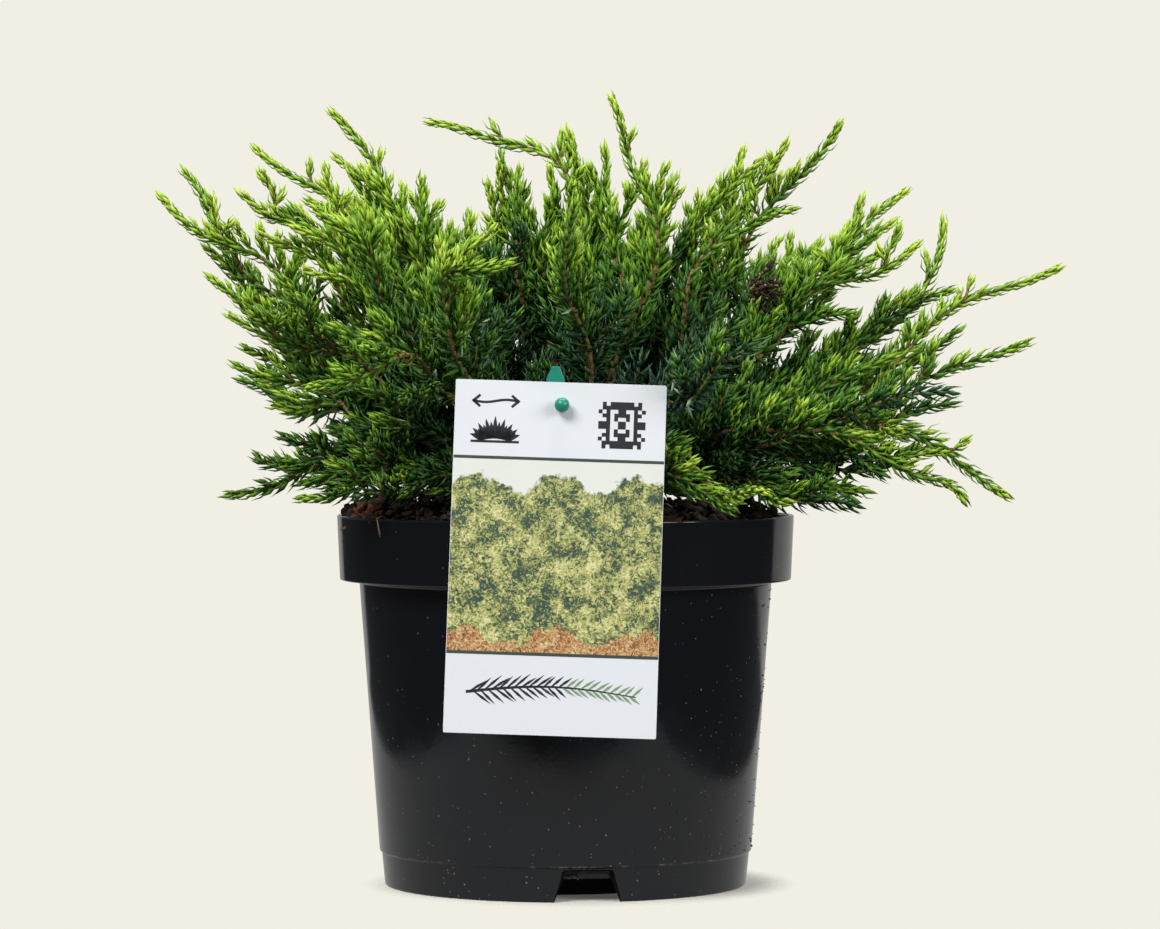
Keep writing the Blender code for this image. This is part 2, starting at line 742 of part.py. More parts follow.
def make_card(collection):
    """The label card: a thin sheet with rounded corners and a peg hole."""
    curve = bpy.data.curves.new("label_card", "CURVE")
    curve.dimensions = "2D"
    curve.fill_mode = "BOTH"
    curve.extrude = CARD_THICKNESS / 2
    outline = []
    corner_steps = 2
    half = Vector((CARD_WIDTH / 2 - CARD_CORNER, CARD_HEIGHT / 2 - CARD_CORNER))
    for quarter, (side, end) in enumerate(((1, 1), (-1, 1), (-1, -1), (1, -1))):
        for step in range(corner_steps + 1):
            angle = math.radians(90) * (quarter + step / corner_steps)
            x = side * half.x + CARD_CORNER * math.cos(angle)
            outline.append((x, end * half.y + CARD_CORNER * math.sin(angle)))
    centre = hole_centre()
    hole_sides = 12
    hole = []
    for i in range(hole_sides):
        angle = math.tau * i / hole_sides
        x = centre.x + CARD_HOLE_RADIUS * math.cos(angle)
        hole.append((x, centre.y + CARD_HOLE_RADIUS * math.sin(angle)))
    for loop in (outline, hole):
        spline = curve.splines.new("POLY")
        spline.points.add(len(loop) - 1)
        for point, (x, y) in zip(spline.points, loop):
            point.co = (x, y, 0.0, 1.0)
        spline.use_cyclic_u = True
    card = add_object("label_card", curve, collection, "label_card")
    card.matrix_world = card_frame()
    return card


def make_holder(collection):
    """The label's stake with its wedge head, joined to the ball-ended peg."""
    outline = [
        (-STAKE_WIDTH / 2, STAKE_HEAD_HEIGHT),
        (-STAKE_WIDTH / 2, STAKE_FOOT_HEIGHT + STAKE_POINT),
        (0.0, STAKE_FOOT_HEIGHT),
        (STAKE_WIDTH / 2, STAKE_FOOT_HEIGHT + STAKE_POINT),
        (STAKE_WIDTH / 2, STAKE_HEAD_HEIGHT),
        (STAKE_TIP_WIDTH / 2, STAKE_TOP_HEIGHT),
        (-STAKE_TIP_WIDTH / 2, STAKE_TOP_HEIGHT),
    ]
    curve = bpy.data.curves.new("stake", "CURVE")
    curve.dimensions = "2D"
    curve.fill_mode = "BOTH"
    curve.extrude = STAKE_THICKNESS / 2
    spline = curve.splines.new("POLY")
    spline.points.add(len(outline) - 1)
    for point, (x, height) in zip(spline.points, outline):
        point.co = (x, height, 0.0, 1.0)
    spline.use_cyclic_u = True
    stake = add_object("stake", curve, collection)
    stand = Matrix.Rotation(math.radians(90), 4, "X")
    bpy.context.view_layer.update()
    mesh = evaluated_mesh(stake)
    bpy.data.objects.remove(stake, do_unlink=True)
    mesh.transform(Matrix.Translation((CARD_CENTRE.x, STAKE_CENTRE_Y, 0.0)) @ stand)
    holder = add_object("label_holder", mesh, collection, "label_holder")

    hole = card_frame() @ hole_centre()
    peg_length = STAKE_CENTRE_Y - hole.y + CARD_THICKNESS / 2 + 2 * GAP + BALL_RADIUS
    neck = math.acos(PEG_RADIUS / BALL_RADIUS)
    profile = [(0.0, peg_length + BALL_RADIUS)]
    for step in range(1, BALL_RINGS + 1):
        angle = math.radians(90) - (math.radians(90) + neck) * step / BALL_RINGS
        height = peg_length + BALL_RADIUS * math.sin(angle)
        profile.append((BALL_RADIUS * math.cos(angle), height))
    profile.append((PEG_RADIUS, 0.0))
    profile.append((0.0, 0.0))
    peg = turned("peg", profile, BALL_STEPS, collection)
    peg.matrix_world = Matrix.Translation((hole.x, STAKE_CENTRE_Y, hole.z)) @ stand
    bpy.context.view_layer.update()
    union = holder.modifiers.new("union", "BOOLEAN")
    union.operation = "UNION"
    union.object = peg
    joined = evaluated_mesh(holder)
    holder.modifiers.clear()
    holder.data = joined
    bpy.data.objects.remove(peg, do_unlink=True)
    return holder


def main():
    """Model the pot, its soil, the plant and the label."""
    clear_scene()
    collection = make_collection(MODEL_NAME)
    cutters = make_collection("cutters")
    make_pot(collection, cutters)
    make_soil(collection, cutters)
    make_stem(collection)
    feet = foot_headings()
    bough_lines = {name: bough_points(bough, feet[name]) for name, bough in BOUGHS.items()}
    for name, line in bough_lines.items():
        make_bough(f"bough_{name}", line, collection)
    leaders = {}
    for bough in BOUGHS:
        on_bough = [name for name, mass in MASSES.items() if mass.bough == bough]
        for order, name in enumerate(on_bough):
            leaders[name] = leader_points(MASSES[name], bough_lines[bough], order)
    spaces = Spaces(bough_lines, leaders)
    for name, leader in leaders.items():
        make_mass(name, leader, spaces, collection)
    make_card(collection)
    make_holder(collection)


main()
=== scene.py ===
"""Looks of the potted repanda common juniper, laid out as a Blender add-on and run as a script.

Metres, +Z up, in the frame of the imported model. The origin is on the pot's axis at the
level the pot stands on, and the front looks along -Y. Headings are degrees
counter-clockwise from +X, and a reach is the distance from the pot's axis.
"""

import math
import random
import zlib
from collections import namedtuple
from functools import lru_cache

import bmesh
import bpy
import numpy as np
from bpy.props import FloatProperty, FloatVectorProperty, IntProperty, PointerProperty
from bpy.types import Operator, Panel, PropertyGroup
from mathutils import Matrix, Quaternion, Vector, noise


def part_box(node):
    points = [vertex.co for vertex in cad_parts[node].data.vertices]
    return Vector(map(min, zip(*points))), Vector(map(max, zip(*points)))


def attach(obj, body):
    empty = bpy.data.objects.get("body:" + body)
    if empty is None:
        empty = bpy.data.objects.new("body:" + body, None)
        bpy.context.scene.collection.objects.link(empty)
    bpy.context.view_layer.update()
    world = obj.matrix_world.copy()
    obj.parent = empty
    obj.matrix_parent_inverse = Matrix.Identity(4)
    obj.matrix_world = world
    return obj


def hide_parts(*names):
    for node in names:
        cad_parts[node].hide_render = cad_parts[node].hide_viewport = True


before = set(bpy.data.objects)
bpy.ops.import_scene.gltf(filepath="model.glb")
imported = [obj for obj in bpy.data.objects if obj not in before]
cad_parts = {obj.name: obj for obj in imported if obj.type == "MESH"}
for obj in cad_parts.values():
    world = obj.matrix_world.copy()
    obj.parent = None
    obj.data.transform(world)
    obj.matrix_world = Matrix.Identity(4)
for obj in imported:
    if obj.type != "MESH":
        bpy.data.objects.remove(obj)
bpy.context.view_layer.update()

bl_info = {
    "name": "Potted Juniper",
    "version": (1, 0, 0),
    "blender": (4, 5, 0),
    "location": "3D View > Sidebar > Juniper",
    "description": "Pot, soil, limbs, needles and label of a potted common juniper",
    "category": "Add Mesh",
}

BODY = "root"

# Clearance between solids that touch, as in the model's source
GAP = 0.0003
WELD_DISTANCE = 1e-6

# Pot: its height and rim come from the frame, the rest repeats the source
POT_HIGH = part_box("pot")[1]
POT_HEIGHT = POT_HIGH.z
RIM_RADIUS = POT_HIGH.x
WALL = 0.0016
BAND_FOOT_RADIUS = 0.084
BAND_FOOT_HEIGHT = 0.1135
SHOULDER_RADIUS = 0.0768
SHOULDER_HEIGHT = 0.1126
FOOT_LINE_RADIUS = 0.0693
FOOT_LINE_HEIGHT = 0.0128
FOOT_STEP = 0.0008
FOOT_RADIUS = 0.0673
CHANNEL_HEIGHT = 0.008
HUB_RADIUS = 0.042
HUB_SLOPE = 0.002
NOTCH_HEADINGS = (277, 37, 157)
NOTCH_HEIGHT = 0.0108
NOTCH_FOOT_WIDTH = 0.024
NOTCH_TOP_WIDTH = 0.0154
NOTCH_DEPTH = 0.012
NOTCH_CORNER = 0.0012
NOTCH_CHAMFER = 0.0011

# Soil
SOIL_EDGE_HEIGHT = 0.1342
SOIL_TOP_HEIGHT = 0.1444
SOIL_SECTORS = 180
SOIL_MOUND_RINGS = 56
CRUMB_CLEARANCE = 0.0015
SPECKS_HEADING = 346
SPECKS_SPREAD = 38

# Stem and boughs
STEM_FOOT_HEIGHT = SOIL_TOP_HEIGHT + GAP
STEM_HEIGHT = 0.023
STEM_FLARE_RADIUS = 0.0098
STEM_RADIUS = 0.0072
STEM_TOP_RADIUS = 0.0052
BOUGH_FOOT_RADIUS = 0.0023
BOUGH_TIP_RADIUS = 0.0012
BOUGH_POINTS = 6
BOUGH_TIERS = (0.0048, 0.014)
BOUGH_LEAVING_SHARE = 0.45
BOUGH_BEND_SHARE = 0.5
MASS_STATION = 0.01

# Leaders and the source's side shoots
TIP_LEADER_BEND = 0.42
SIDE_LEADER_BEND = 0.2
SIDE_LEADER_RUN = 0.3
LEADER_LEAST_RISE = 0.002
SIDE_SHOOTS = 4
SIDE_FIRST = 0.12
SIDE_LAST = 0.74
SIDE_LONGEST = 0.5
SIDE_SHORTEST = 0.24
SIDE_ANGLE = math.radians(42)
SIDE_ANGLE_SPREAD = math.radians(8)
SIDE_LIFT = 0.2
SIDE_LEAST_LENGTH = 0.013
SIDE_TURNS = 5
GOLDEN_TURN = math.radians(137.5)
WHORL_PITCH = 0.013
TWIG_RADIUS = 0.0009
CORE_RADIUS = 0.002
SPACE_MARGIN = 0.001
LIMB_MARGIN = 0.0008

# Finer shoots, which the same rule carries on with: how far apart along the shoot
# they grow on, over which share of it, how long and at which angle from its foot to its tip,
# and how many turns about it are tried
Finer = namedtuple("Finer", "spacing first last longest shortest angle tip_angle turns")
ON_LEADER = Finer(0.0055, 0.04, 0.93, 0.034, 0.016, math.radians(52), math.radians(30), 3)
ON_SIDE = Finer(0.0061, 0.12, 0.88, 0.017, 0.009, math.radians(48), math.radians(30), 2)
ON_BOUGH = Finer(0.0024, 0.06, 1.00, 0.034, 0.022, math.radians(62), math.radians(45), 3)
FINE_RADIUS = 0.0002
FINE_LEAST_LENGTH = 0.006
FINE_ANGLE_SPREAD = math.radians(15)
FINE_TEST_STEP = 0.005
WANDER = 0.055
LINE_STEP = 0.003

# A shoot's tip stays narrow: how long its side shoots may be at a distance behind it
MAIN_LIMIT = (0.012, 0.52)
FINE_LIMIT = (0.001, 0.42)

# Needles: young ones lie along the shoot, older ones stand off
YOUNG_LEAN = math.radians(6)
OLD_LEAN = math.radians(56)
SHADE_LEAN_RUN = 0.008
LIT_LEAN_RUN = 0.075
LEAN_SPREAD = math.radians(8)
LEADER_LEAN_SHARE = 1.5
YOUNG_LENGTH = 0.0053
LENGTH_RUN = 0.016
YOUNG_PITCH = 0.002
PITCH_RUN = 0.02
YOUNG_BOW = 0.12
OLD_BOW = 0.05
MIDDLE_SHARE = 0.46
TINT_STEPS = 8
BAND_SHARE = 0.06
BAND_FROM = 0.012

# Tint of a needle: painted light and shade by its place in the crown, and by how near its shoot's tip it
# grows
PAINTED_LIGHT_SHARE = 0.6
TIP_SHARE = 0.48
TIP_RUN = 0.012
SPRAY_SPREAD = 0.16

# Where the needles' tints paint the crown as lit: by its height, and by the distance from its middle
CROWN_CENTRE = np.array((0.01, 0.0, 0.165))
CROWN_RADII = np.array((0.155, 0.115, 0.11))
CROWN_FOOT = 0.14
CROWN_RISE = 0.125

# Painted shade on the needles' tints in the hollow in the front of the crown, behind the label
HOLLOW_CENTRE = np.array((-0.012, -0.055, 0.204))
HOLLOW_RADII = np.array((0.034, 0.045, 0.021))
HOLLOW_SHADE = 0.22

# A dead tuft inside the right of the crown
DEAD_CENTRE = np.array((0.0725, -0.024, 0.2215))
DEAD_REACH = np.array((0.0018, 0.002, 0.0036))
DEAD_SHOOTS = 24
DEAD_LENGTH = 0.006
DEAD_NEEDLE_SHARE = 0.62

# Orders of shoots: a leader, its side shoots, the finer ones, those on a bough, and dead ones
LEADER, SIDE, FINE, ON_WOOD, DEAD = range(5)
LEADER_BARE = 0.006
SIDE_BARE = 0.003
FINE_BARE = 0.0012

# Label card and its holder
CARD_WIDTH = 0.075
CARD_HEIGHT = 0.126
CARD_THICKNESS = 0.0006
CARD_CORNER = 0.0007
CARD_CENTRE = Vector((-0.0033, -0.0881, 0.1247))
CARD_LEAN = math.radians(9.1)
CARD_TURN = math.radians(1.9)
CARD_HOLE_RADIUS = 0.0019
CARD_HOLE_DROP = 0.008
CARD_HOLE = Vector((0.0005, CARD_HEIGHT / 2 - CARD_HOLE_DROP, 0.0))
CARD_CLEARANCE = 0.003
STAKE_WIDTH = 0.006
STAKE_TIP_WIDTH = 0.0024
STAKE_THICKNESS = 0.0022
STAKE_CENTRE_Y = -0.0758
STAKE_FOOT_HEIGHT = 0.12
STAKE_POINT = 0.008
STAKE_HEAD_HEIGHT = 0.188
STAKE_TOP_HEIGHT = 0.1924
PEG_RADIUS = 0.0015
BALL_RADIUS = 0.0027
INK = 0.00004

# Camera, fitted to the photograph's frame of 1160 by 929 pixels
SENSOR = 36.0
LENS = 145.7
CAMERA_PLACE = Vector((0.0054, -1.75, 0.192))
CAMERA_PITCH = math.radians(1.175)

# The turn that stands a flat outline up, so that it faces the front
QUARTER = math.radians(90)
UPRIGHT = Matrix.Rotation(QUARTER, 4, "X")

# Sockets of the colour Mix node, which share their names
MIX_FACTOR, MIX_A, MIX_B, MIX_COLOUR = 0, 6, 7, 2

# Boughs: the tier of the stem each one leaves, then the heading, reach and height of its tip
Bough = namedtuple("Bough", "tier heading reach height")
BOUGHS = {
    "left_outer": Bough(1, 187, 0.06, 0.186),
    "left_plume": Bough(1, 209, 0.052, 0.19),
    "left_tall": Bough(1, 172, 0.034, 0.196),
    "left_low": Bough(0, 197, 0.05, 0.162),
    "left_front": Bough(0, 231, 0.05, 0.176),
    "centre_rear": Bough(1, 112, 0.016, 0.201),
    "centre_tall": Bough(1, 305, 0.03, 0.192),
    "right_tall": Bough(1, 12, 0.033, 0.19),
    "right_mid": Bough(1, 353, 0.052, 0.183),
    "right_outer": Bough(0, 0, 0.062, 0.17),
    "right_low": Bough(0, 326, 0.055, 0.163),
    "right_front": Bough(0, 310, 0.052, 0.162),
    "back_left": Bough(0, 142, 0.05, 0.179),
    "back_middle": Bough(0, 88, 0.046, 0.178),
    "back_right": Bough(0, 42, 0.05, 0.178),
}

# Masses of foliage by bough: the heading, reach and height of the tip of each one's leader.
# The first leader goes on from the bough's tip, and the others leave it further back
MASS_TIPS = {
    "left_outer": {
        "left_outer_tip": (187, 0.1515, 0.2566),
        "left_outer_rise": (175, 0.145, 0.2671),
        "left_outer_low": (197, 0.137, 0.2259),
    },
    "left_plume": {
        "left_plume_tip": (204, 0.13, 0.2564),
        "left_plume_front": (222, 0.122, 0.25),
    },
    "left_tall": {
        "left_tall_top": (180, 0.0885, 0.289),
        "left_tall_long": (170, 0.12, 0.276),
        "left_tall_inner": (200, 0.056, 0.264),
    },
    "left_low": {
        "left_low_tip": (190, 0.125, 0.1943),
        "left_low_hang": (195, 0.13, 0.1455),
        "left_low_front": (214, 0.117, 0.145),
    },
    "left_front": {
        "left_front_low": (229, 0.14, 0.1844),
        "left_front_cross": (261, 0.111, 0.2294),
    },
    "centre_rear": {
        "centre_rear_arch": (171, 0.053, 0.2842),
        "centre_rear_small": (87, 0.028, 0.2822),
    },
    "centre_tall": {
        "centre_tall_top": (302, 0.0296, 0.2928),
        "centre_tall_right": (338, 0.041, 0.2682),
        "centre_front_up": (273, 0.08, 0.2536),
    },
    "right_tall": {
        "right_tall_left": (356, 0.067, 0.275),
        "right_tall_top": (7, 0.1044, 0.2851),
    },
    "right_mid": {
        "right_mid_tip": (7, 0.13, 0.2597),
        "right_mid_low": (352, 0.133, 0.2383),
        "right_mid_front": (336, 0.093, 0.25),
    },
    "right_outer": {
        "right_outer_far": (358, 0.185, 0.2304),
        "right_outer_rise": (7, 0.143, 0.2497),
        "right_outer_low": (350, 0.174, 0.2024),
    },
    "right_low": {
        "right_low_level": (336, 0.155, 0.1835),
        "right_low_droop": (337, 0.174, 0.145),
        "right_low_hang": (330, 0.123, 0.1415),
    },
    "right_front": {
        "right_front_bright": (303, 0.133, 0.148),
        "right_front_up": (304, 0.123, 0.2001),
    },
    "back_left": {
        "back_left_rise": (140, 0.126, 0.246),
        "back_left_low": (150, 0.148, 0.188),
    },
    "back_middle": {
        "back_middle_rise": (92, 0.108, 0.25),
        "back_middle_low": (104, 0.132, 0.193),
        "back_middle_side": (72, 0.136, 0.19),
    },
    "back_right": {
        "back_right_rise": (40, 0.13, 0.242),
        "back_right_low": (34, 0.154, 0.184),
    },
}

# How much more painted light the sprays of a bough or mass get than their place in the crown gives them, or
# how much painted shade where it is below zero
PAINTED_LIGHT_BY_MASS = {
    "left_low": 0.24,
    "left_outer": 0.06,
    "left_plume": 0.04,
    "left_front": 0.09,
    "left_tall": -0.03,
    "centre_tall": 0.05,
    "right_mid": 0.1,
    "right_mid_front": -0.08,
    "right_outer": 0.19,
    "right_low": 0.28,
    "right_front": 0.02,
    "right_tall": 0.14,
    "right_front_bright": 1.0,
    "fill_spray_front": 1.0,
    "fill_rim_right_front": 0.45,
    "right_low_droop": 0.42,
    "fill_hang_right_tip": 0.42,
    "right_outer_low": 0.26,
    "right_low_level": 0.15,
    "fill_shelf_right": 0.15,
    "fill_hang_right_far": 0.34,
    "left_low_hang": 0.24,
    "centre_front_up": 0.08,
    "left_front_cross": 0.18,
    "right_front_up": -0.26,
    "fill_inner_right": -0.12,
}

# How far the side shoots of a mass reach, as a share of the rule's reach, where it isn't 1
SPREAD = {
    "left_outer_tip": 0.75,
    "left_outer_rise": 0.35,
    "left_plume_tip": 0.85,
    "left_tall_long": 0.36,
    "left_tall_top": 0.38,
    "left_tall_inner": 0.55,
    "left_low_hang": 0.8,
    "centre_rear_arch": 0.36,
    "centre_rear_small": 0.6,
    "centre_tall_top": 0.38,
    "right_tall_left": 0.65,
    "right_tall_top": 0.65,
    "right_mid_tip": 0.62,
    "right_mid_front": 0.28,
    "right_mid_low": 0.7,
    "right_outer_far": 0.38,
    "right_outer_rise": 0.42,
    "right_outer_low": 0.55,
    "right_low_level": 0.55,
    "right_low_droop": 0.42,
    "right_front_bright": 0.2,
    "fill_leg_right": 0.5,
    "fill_spray_front": 0.2,
    "fill_hang_right_tip": 0.55,
    "fill_valley_right_side": 1.3,
    "fill_valley_right_peak": 1.2,
    "fill_crest_left": 0.8,
}

# Leaders that turn elsewhere than the rule has them: where they bend
BENDS = {
    "left_tall_long": (-0.073, 0.013, 0.2445),
    "left_outer_rise": (-0.125, 0.004, 0.234),
    "left_plume_tip": (-0.0856, -0.038, 0.2394),
    "left_front_cross": (-0.0675, -0.08, 0.2205),
    "left_tall_inner": (-0.052, -0.012, 0.225),
    "centre_rear_arch": (0.0204, 0.012, 0.2825),
    "centre_tall_top": (0.0436, -0.025, 0.2539),
    "right_mid_front": (0.0494, -0.025, 0.2525),
    "right_mid_low": (0.105, -0.018, 0.2312),
    "right_outer_rise": (0.133, 0.0000, 0.202),
    "right_outer_far": (0.114, -0.0093, 0.1912),
    "right_low_droop": (0.114, -0.05, 0.1787),
    "right_front_bright": (0.0452, -0.08, 0.1501),
    "fill_spray_front": (0.0418, -0.072, 0.1499),
    "fill_leg_left_up": (-0.0235, 0.01, 0.2333),
    "fill_leg_left_side": (-0.0174, 0.005, 0.2332),
    "fill_leg_left_low": (-0.0326, 0.0000, 0.2316),
    "fill_hang_right_tip": (0.1261, -0.058, 0.1748),
    "fill_hang_right_low": (0.0852, -0.046, 0.166),
    "fill_hang_right_far": (0.103, -0.052, 0.1675),
    "fill_plume_under": (-0.0877, -0.036, 0.2235),
    "fill_plume_under_front": (-0.0801, -0.042, 0.2285),
    "fill_plume_under_low": (-0.0699, -0.05, 0.2167),
    "fill_leg_middle": (-0.0073, 0.008, 0.2355),
    "right_mid_tip": (0.0875, 0.002, 0.2163),
    "fill_shoulder_right_up": (0.0871, -0.006, 0.2144),
    "fill_valley_right_side": (0.0367, 0.0000, 0.2361),
}

# Leaders that close the crown's inside and its edges, by bough: how far behind the bough's
# tip each one leaves, then the heading, reach and height of its own tip
FILL_TIPS = {
    "centre_rear": {
        "crest_left": (0.008, 158, 0.0265, 0.2689),
        "crest_right": (0.014, 25, 0.0093, 0.2698),
        "crest_peak": (0.005, 89, 0.012, 0.2829),
        "centre_back": (0.022, 114, 0.0436, 0.2371),
        "leg_left": (0.01, 161, 0.0315, 0.2633),
        "leg_left_low": (0.018, 180, 0.0363, 0.2517),
        "leg_left_up": (0.006, 153, 0.0264, 0.275),
        "leg_left_side": (0.013, 166, 0.0171, 0.2687),
        "leg_right": (0.006, 20, 0.0149, 0.2765),
        "leg_middle": (0.003, 119, 0.0114, 0.2693),
    },
    "left_tall": {
        "valley_left": (0.012, 160, 0.0414, 0.2383),
        "valley_left_front": (0.02, 207, 0.0485, 0.2311),
        "shoulder_left": (0.006, 176, 0.059, 0.2586),
        "crest_left_up": (0.004, 187, 0.0812, 0.2673),
        "rear_left": (0.016, 120, 0.07, 0.245),
    },
    "left_plume": {
        "plume_left": (0.009, 183, 0.0873, 0.2717),
        "plume_left_low": (0.016, 193, 0.0986, 0.2546),
        "crest_left_side": (0.004, 180, 0.093, 0.2629),
        "plume_under": (0.005, 199, 0.1183, 0.2431),
        "plume_under_front": (0.012, 205, 0.1106, 0.2451),
    },
    "left_outer": {
        "edge_left": (0.012, 182, 0.1348, 0.2382),
        "edge_left_low": (0.02, 187, 0.1271, 0.2128),
    },
    "left_low": {
        "edge_left_foot": (0.009, 184, 0.121, 0.2006),
        "shelf_left": (0.014, 192, 0.1087, 0.1678),
        "rim_left": (0.024, 221, 0.1009, 0.1458),
        "shelf_left_up": (0.012, 190, 0.1135, 0.1575),
        "low_left_hang": (0.018, 196, 0.1026, 0.1488),
    },
    "left_front": {
        "shelf_left_front": (0.014, 211, 0.1009, 0.1697),
        "rim_left_front": (0.03, 229, 0.0896, 0.147),
        "rim_left_label": (0.036, 231, 0.0768, 0.1475),
        "plume_under_low": (0.006, 209, 0.1084, 0.229),
    },
    "centre_tall": {
        "valley_right": (0.01, 10, 0.034, 0.253),
        "valley_right_top": (0.005, 349, 0.0301, 0.2701),
    },
    "right_tall": {
        "valley_right_low": (0.02, 346, 0.0407, 0.2314),
        "crown_right": (0.008, 350, 0.0476, 0.2462),
        "peak_right": (0.005, 3, 0.0832, 0.2776),
        "peak_right_low": (0.012, 348, 0.0751, 0.2696),
        "valley_right_peak": (0.004, 0, 0.0438, 0.2599),
        "valley_right_side": (0.01, 3, 0.0409, 0.2652),
        "rear_right": (0.016, 60, 0.06, 0.24),
    },
    "right_mid": {
        "shoulder_right": (0.007, 2, 0.1242, 0.2477),
        "shoulder_right_low": (0.013, 353, 0.1186, 0.2357),
        "inner_right": (0.02, 322, 0.0821, 0.2095),
        "shoulder_right_up": (0.006, 358, 0.1177, 0.2463),
    },
    "right_outer": {
        "outer_right": (0.008, 2, 0.1459, 0.222),
        "outer_right_low": (0.014, 358, 0.1475, 0.2077),
        "outer_right_foot": (0.02, 349, 0.1253, 0.198),
    },
    "right_low": {
        "shelf_right": (0.012, 350, 0.1465, 0.1796),
        "shelf_right_low": (0.02, 338, 0.1504, 0.1618),
        "shelf_right_inner": (0.026, 342, 0.1162, 0.1702),
        "rim_right": (0.032, 332, 0.0969, 0.1452),
        "hang_right": (0.016, 335, 0.1226, 0.1465),
        "hang_right_low": (0.024, 335, 0.1172, 0.1432),
        "hang_right_far": (0.008, 335, 0.1289, 0.1524),
        "hang_right_tip": (0.004, 336, 0.1576, 0.1425),
    },
    "right_front": {
        "rim_right_front": (0.018, 305, 0.1073, 0.1408),
        "rim_right_label": (0.03, 304, 0.0798, 0.1476),
        "spray_front": (0.006, 307, 0.1063, 0.1453),
    },
    "back_middle": {
        "rear_low": (0.024, 118, 0.09, 0.16),
        "rear_middle": (0.016, 70, 0.095, 0.17),
    },
    "back_left": {
        "rear_left_low": (0.024, 160, 0.095, 0.156),
    },
    "back_right": {
        "rear_right_low": (0.024, 20, 0.1, 0.156),
    },
}
Leader = namedtuple("Leader", "bough back heading reach height")
MASSES = {
    name: Leader(bough, MASS_STATION * order, *tip)
    for bough, tips in MASS_TIPS.items() for order, (name, tip) in enumerate(tips.items())
}
FILLS = {
    f"fill_{name}": Leader(bough, *tip) for bough, tips in FILL_TIPS.items() for name, tip in tips.items()
}


def linear(colour):
    """An sRGB hex colour as linear red, green and blue."""
    channels = [int(colour[i : i + 2], 16) / 255 for i in (0, 2, 4)]
    return tuple(c / 12.92 if c <= 0.04045 else ((c + 0.055) / 1.055) ** 2.4 for c in channels)


def colour_setting(name, description, colour):
    """A colour that a user would change, given as its sRGB hex value."""
    return FloatVectorProperty(
        name=name, description=description, default=linear(colour), size=3, min=0, max=1, subtype="COLOR"
    )


def length_setting(name, description, metres, least, most):
    """A length that a user would change."""
    return FloatProperty(
        name=name, description=description, default=metres, min=least, max=most, precision=5, unit="LENGTH"
    )


def power_setting(name, description, watts):
    """The power of a lamp."""
    return FloatProperty(name=name, description=description, default=watts, min=0, unit="POWER")


class JuniperPotSettings(PropertyGroup):
    """Sizes and colours of the pot and its soil."""

    facets: IntProperty(name="Facets", description="Flat faces round the pot", default=192, min=32)
    edge: length_setting("Edge radius", "Rounding of the moulded edges", 0.0006, 0.0001, 0.001)
    lump: length_setting("Soil lumps", "How far the soil's lumps stand up", 0.0022, 0.0, 0.004)
    crumbs: IntProperty(name="Crumbs", description="Loose crumbs of peat", default=1500, min=0)
    plastic: colour_setting("Plastic", "Colour of the pot", "101216")
    dust: colour_setting("Dust", "Dried soil on the pot", "8C8478")
    peat: colour_setting("Peat", "Moist peat between the lumps", "14110C")
    peat_dry: colour_setting("Dry peat", "Peat on top of the lumps", "3A2A1C")


class JuniperPlantSettings(PropertyGroup):
    """Sizes and colours of the limbs, twigs and needles."""

    needle_length: length_setting("Needle length", "Length of a full-grown needle", 0.0078, 0.003, 0.012)
    needle_width: length_setting("Needle width", "Width of a needle at its middle", 0.00188, 0.0005, 0.002)
    needle_thickness: length_setting("Needle thickness", "Depth of a needle's keel", 0.00055, 0.0002, 0.001)
    whorl_pitch: length_setting("Whorl pitch", "Step between whorls on old shoots", 0.0033, 0.001, 0.006)
    # The tints from shade to fresh carry painted shade low inside the crown and painted light at its upper
    # skin, besides the paler young growth at the tips
    fresh: colour_setting("Fresh", "Needles at the lit tips", "ADCA43")
    young: colour_setting("Young", "Needles near the tips", "87B02A")
    middle: colour_setting("Middle", "Full-grown needles in the light", "52801E")
    deep: colour_setting("Deep", "Needles inside the crown", "2B5824")
    shade: colour_setting("Shade", "Needles low in the crown", "173A29")
    band: colour_setting("Band", "Waxy band on the upper face", "93AD8C")
    dead: colour_setting("Dead", "Dead needles", "33221A")
    bark: colour_setting("Bark", "Old bark", "4A3626")
    bark_light: colour_setting("Light bark", "Flakes of the bark", "8A6B48")
    twig: colour_setting("Twig", "Young twigs", "5F6A26")


class JuniperLabelSettings(PropertyGroup):
    """Colours of the label card and its holder."""

    card: colour_setting("Card", "White card", "E3E6E9")
    ink: colour_setting("Ink", "Dark printing ink", "222426")
    line: colour_setting("Line", "Lines above and below the printed pattern", "3B4840")
    leaf: colour_setting("Leaf ink", "Grey-green printing ink", "7F9A78")
    holder: colour_setting("Holder", "Teal plastic", "1F8C74")
    print_light: colour_setting("Print, light", "Lightest foliage in the printed pattern", "E3DDA4")
    print_middle: colour_setting("Print, middle", "Foliage in the printed pattern", "A3A85C")
    print_dark: colour_setting("Print, dark", "Shade in the printed pattern", "3A5046")
    print_sky: colour_setting("Print, top", "Pale top of the printed pattern", "E4E6DC")
    print_earth: colour_setting("Print, earth", "Foot of the printed pattern", "B4703C")


class JuniperStageSettings(PropertyGroup):
    """Light and surroundings."""

    backdrop: colour_setting("Backdrop", "Plain backdrop", "F1EEE3")
    floor: colour_setting("Floor", "Plain floor", "EDEAE0")
    key: power_setting("Key light", "Front left soft box", 42.0)
    fill: power_setting("Fill light", "Right soft box", 23.0)
    top: power_setting("Top light", "Soft box overhead", 30.0)
    ambient: FloatProperty(name="Ambient", description="Strength of the even light", default=0.15, min=0)


def settings(group):
    """One of the scene's setting groups."""
    return getattr(bpy.context.scene, f"juniper_{group}")


def per(millimetres):
    """Scale of a pattern whose features are this many millimetres apart."""
    return 1000 / millimetres


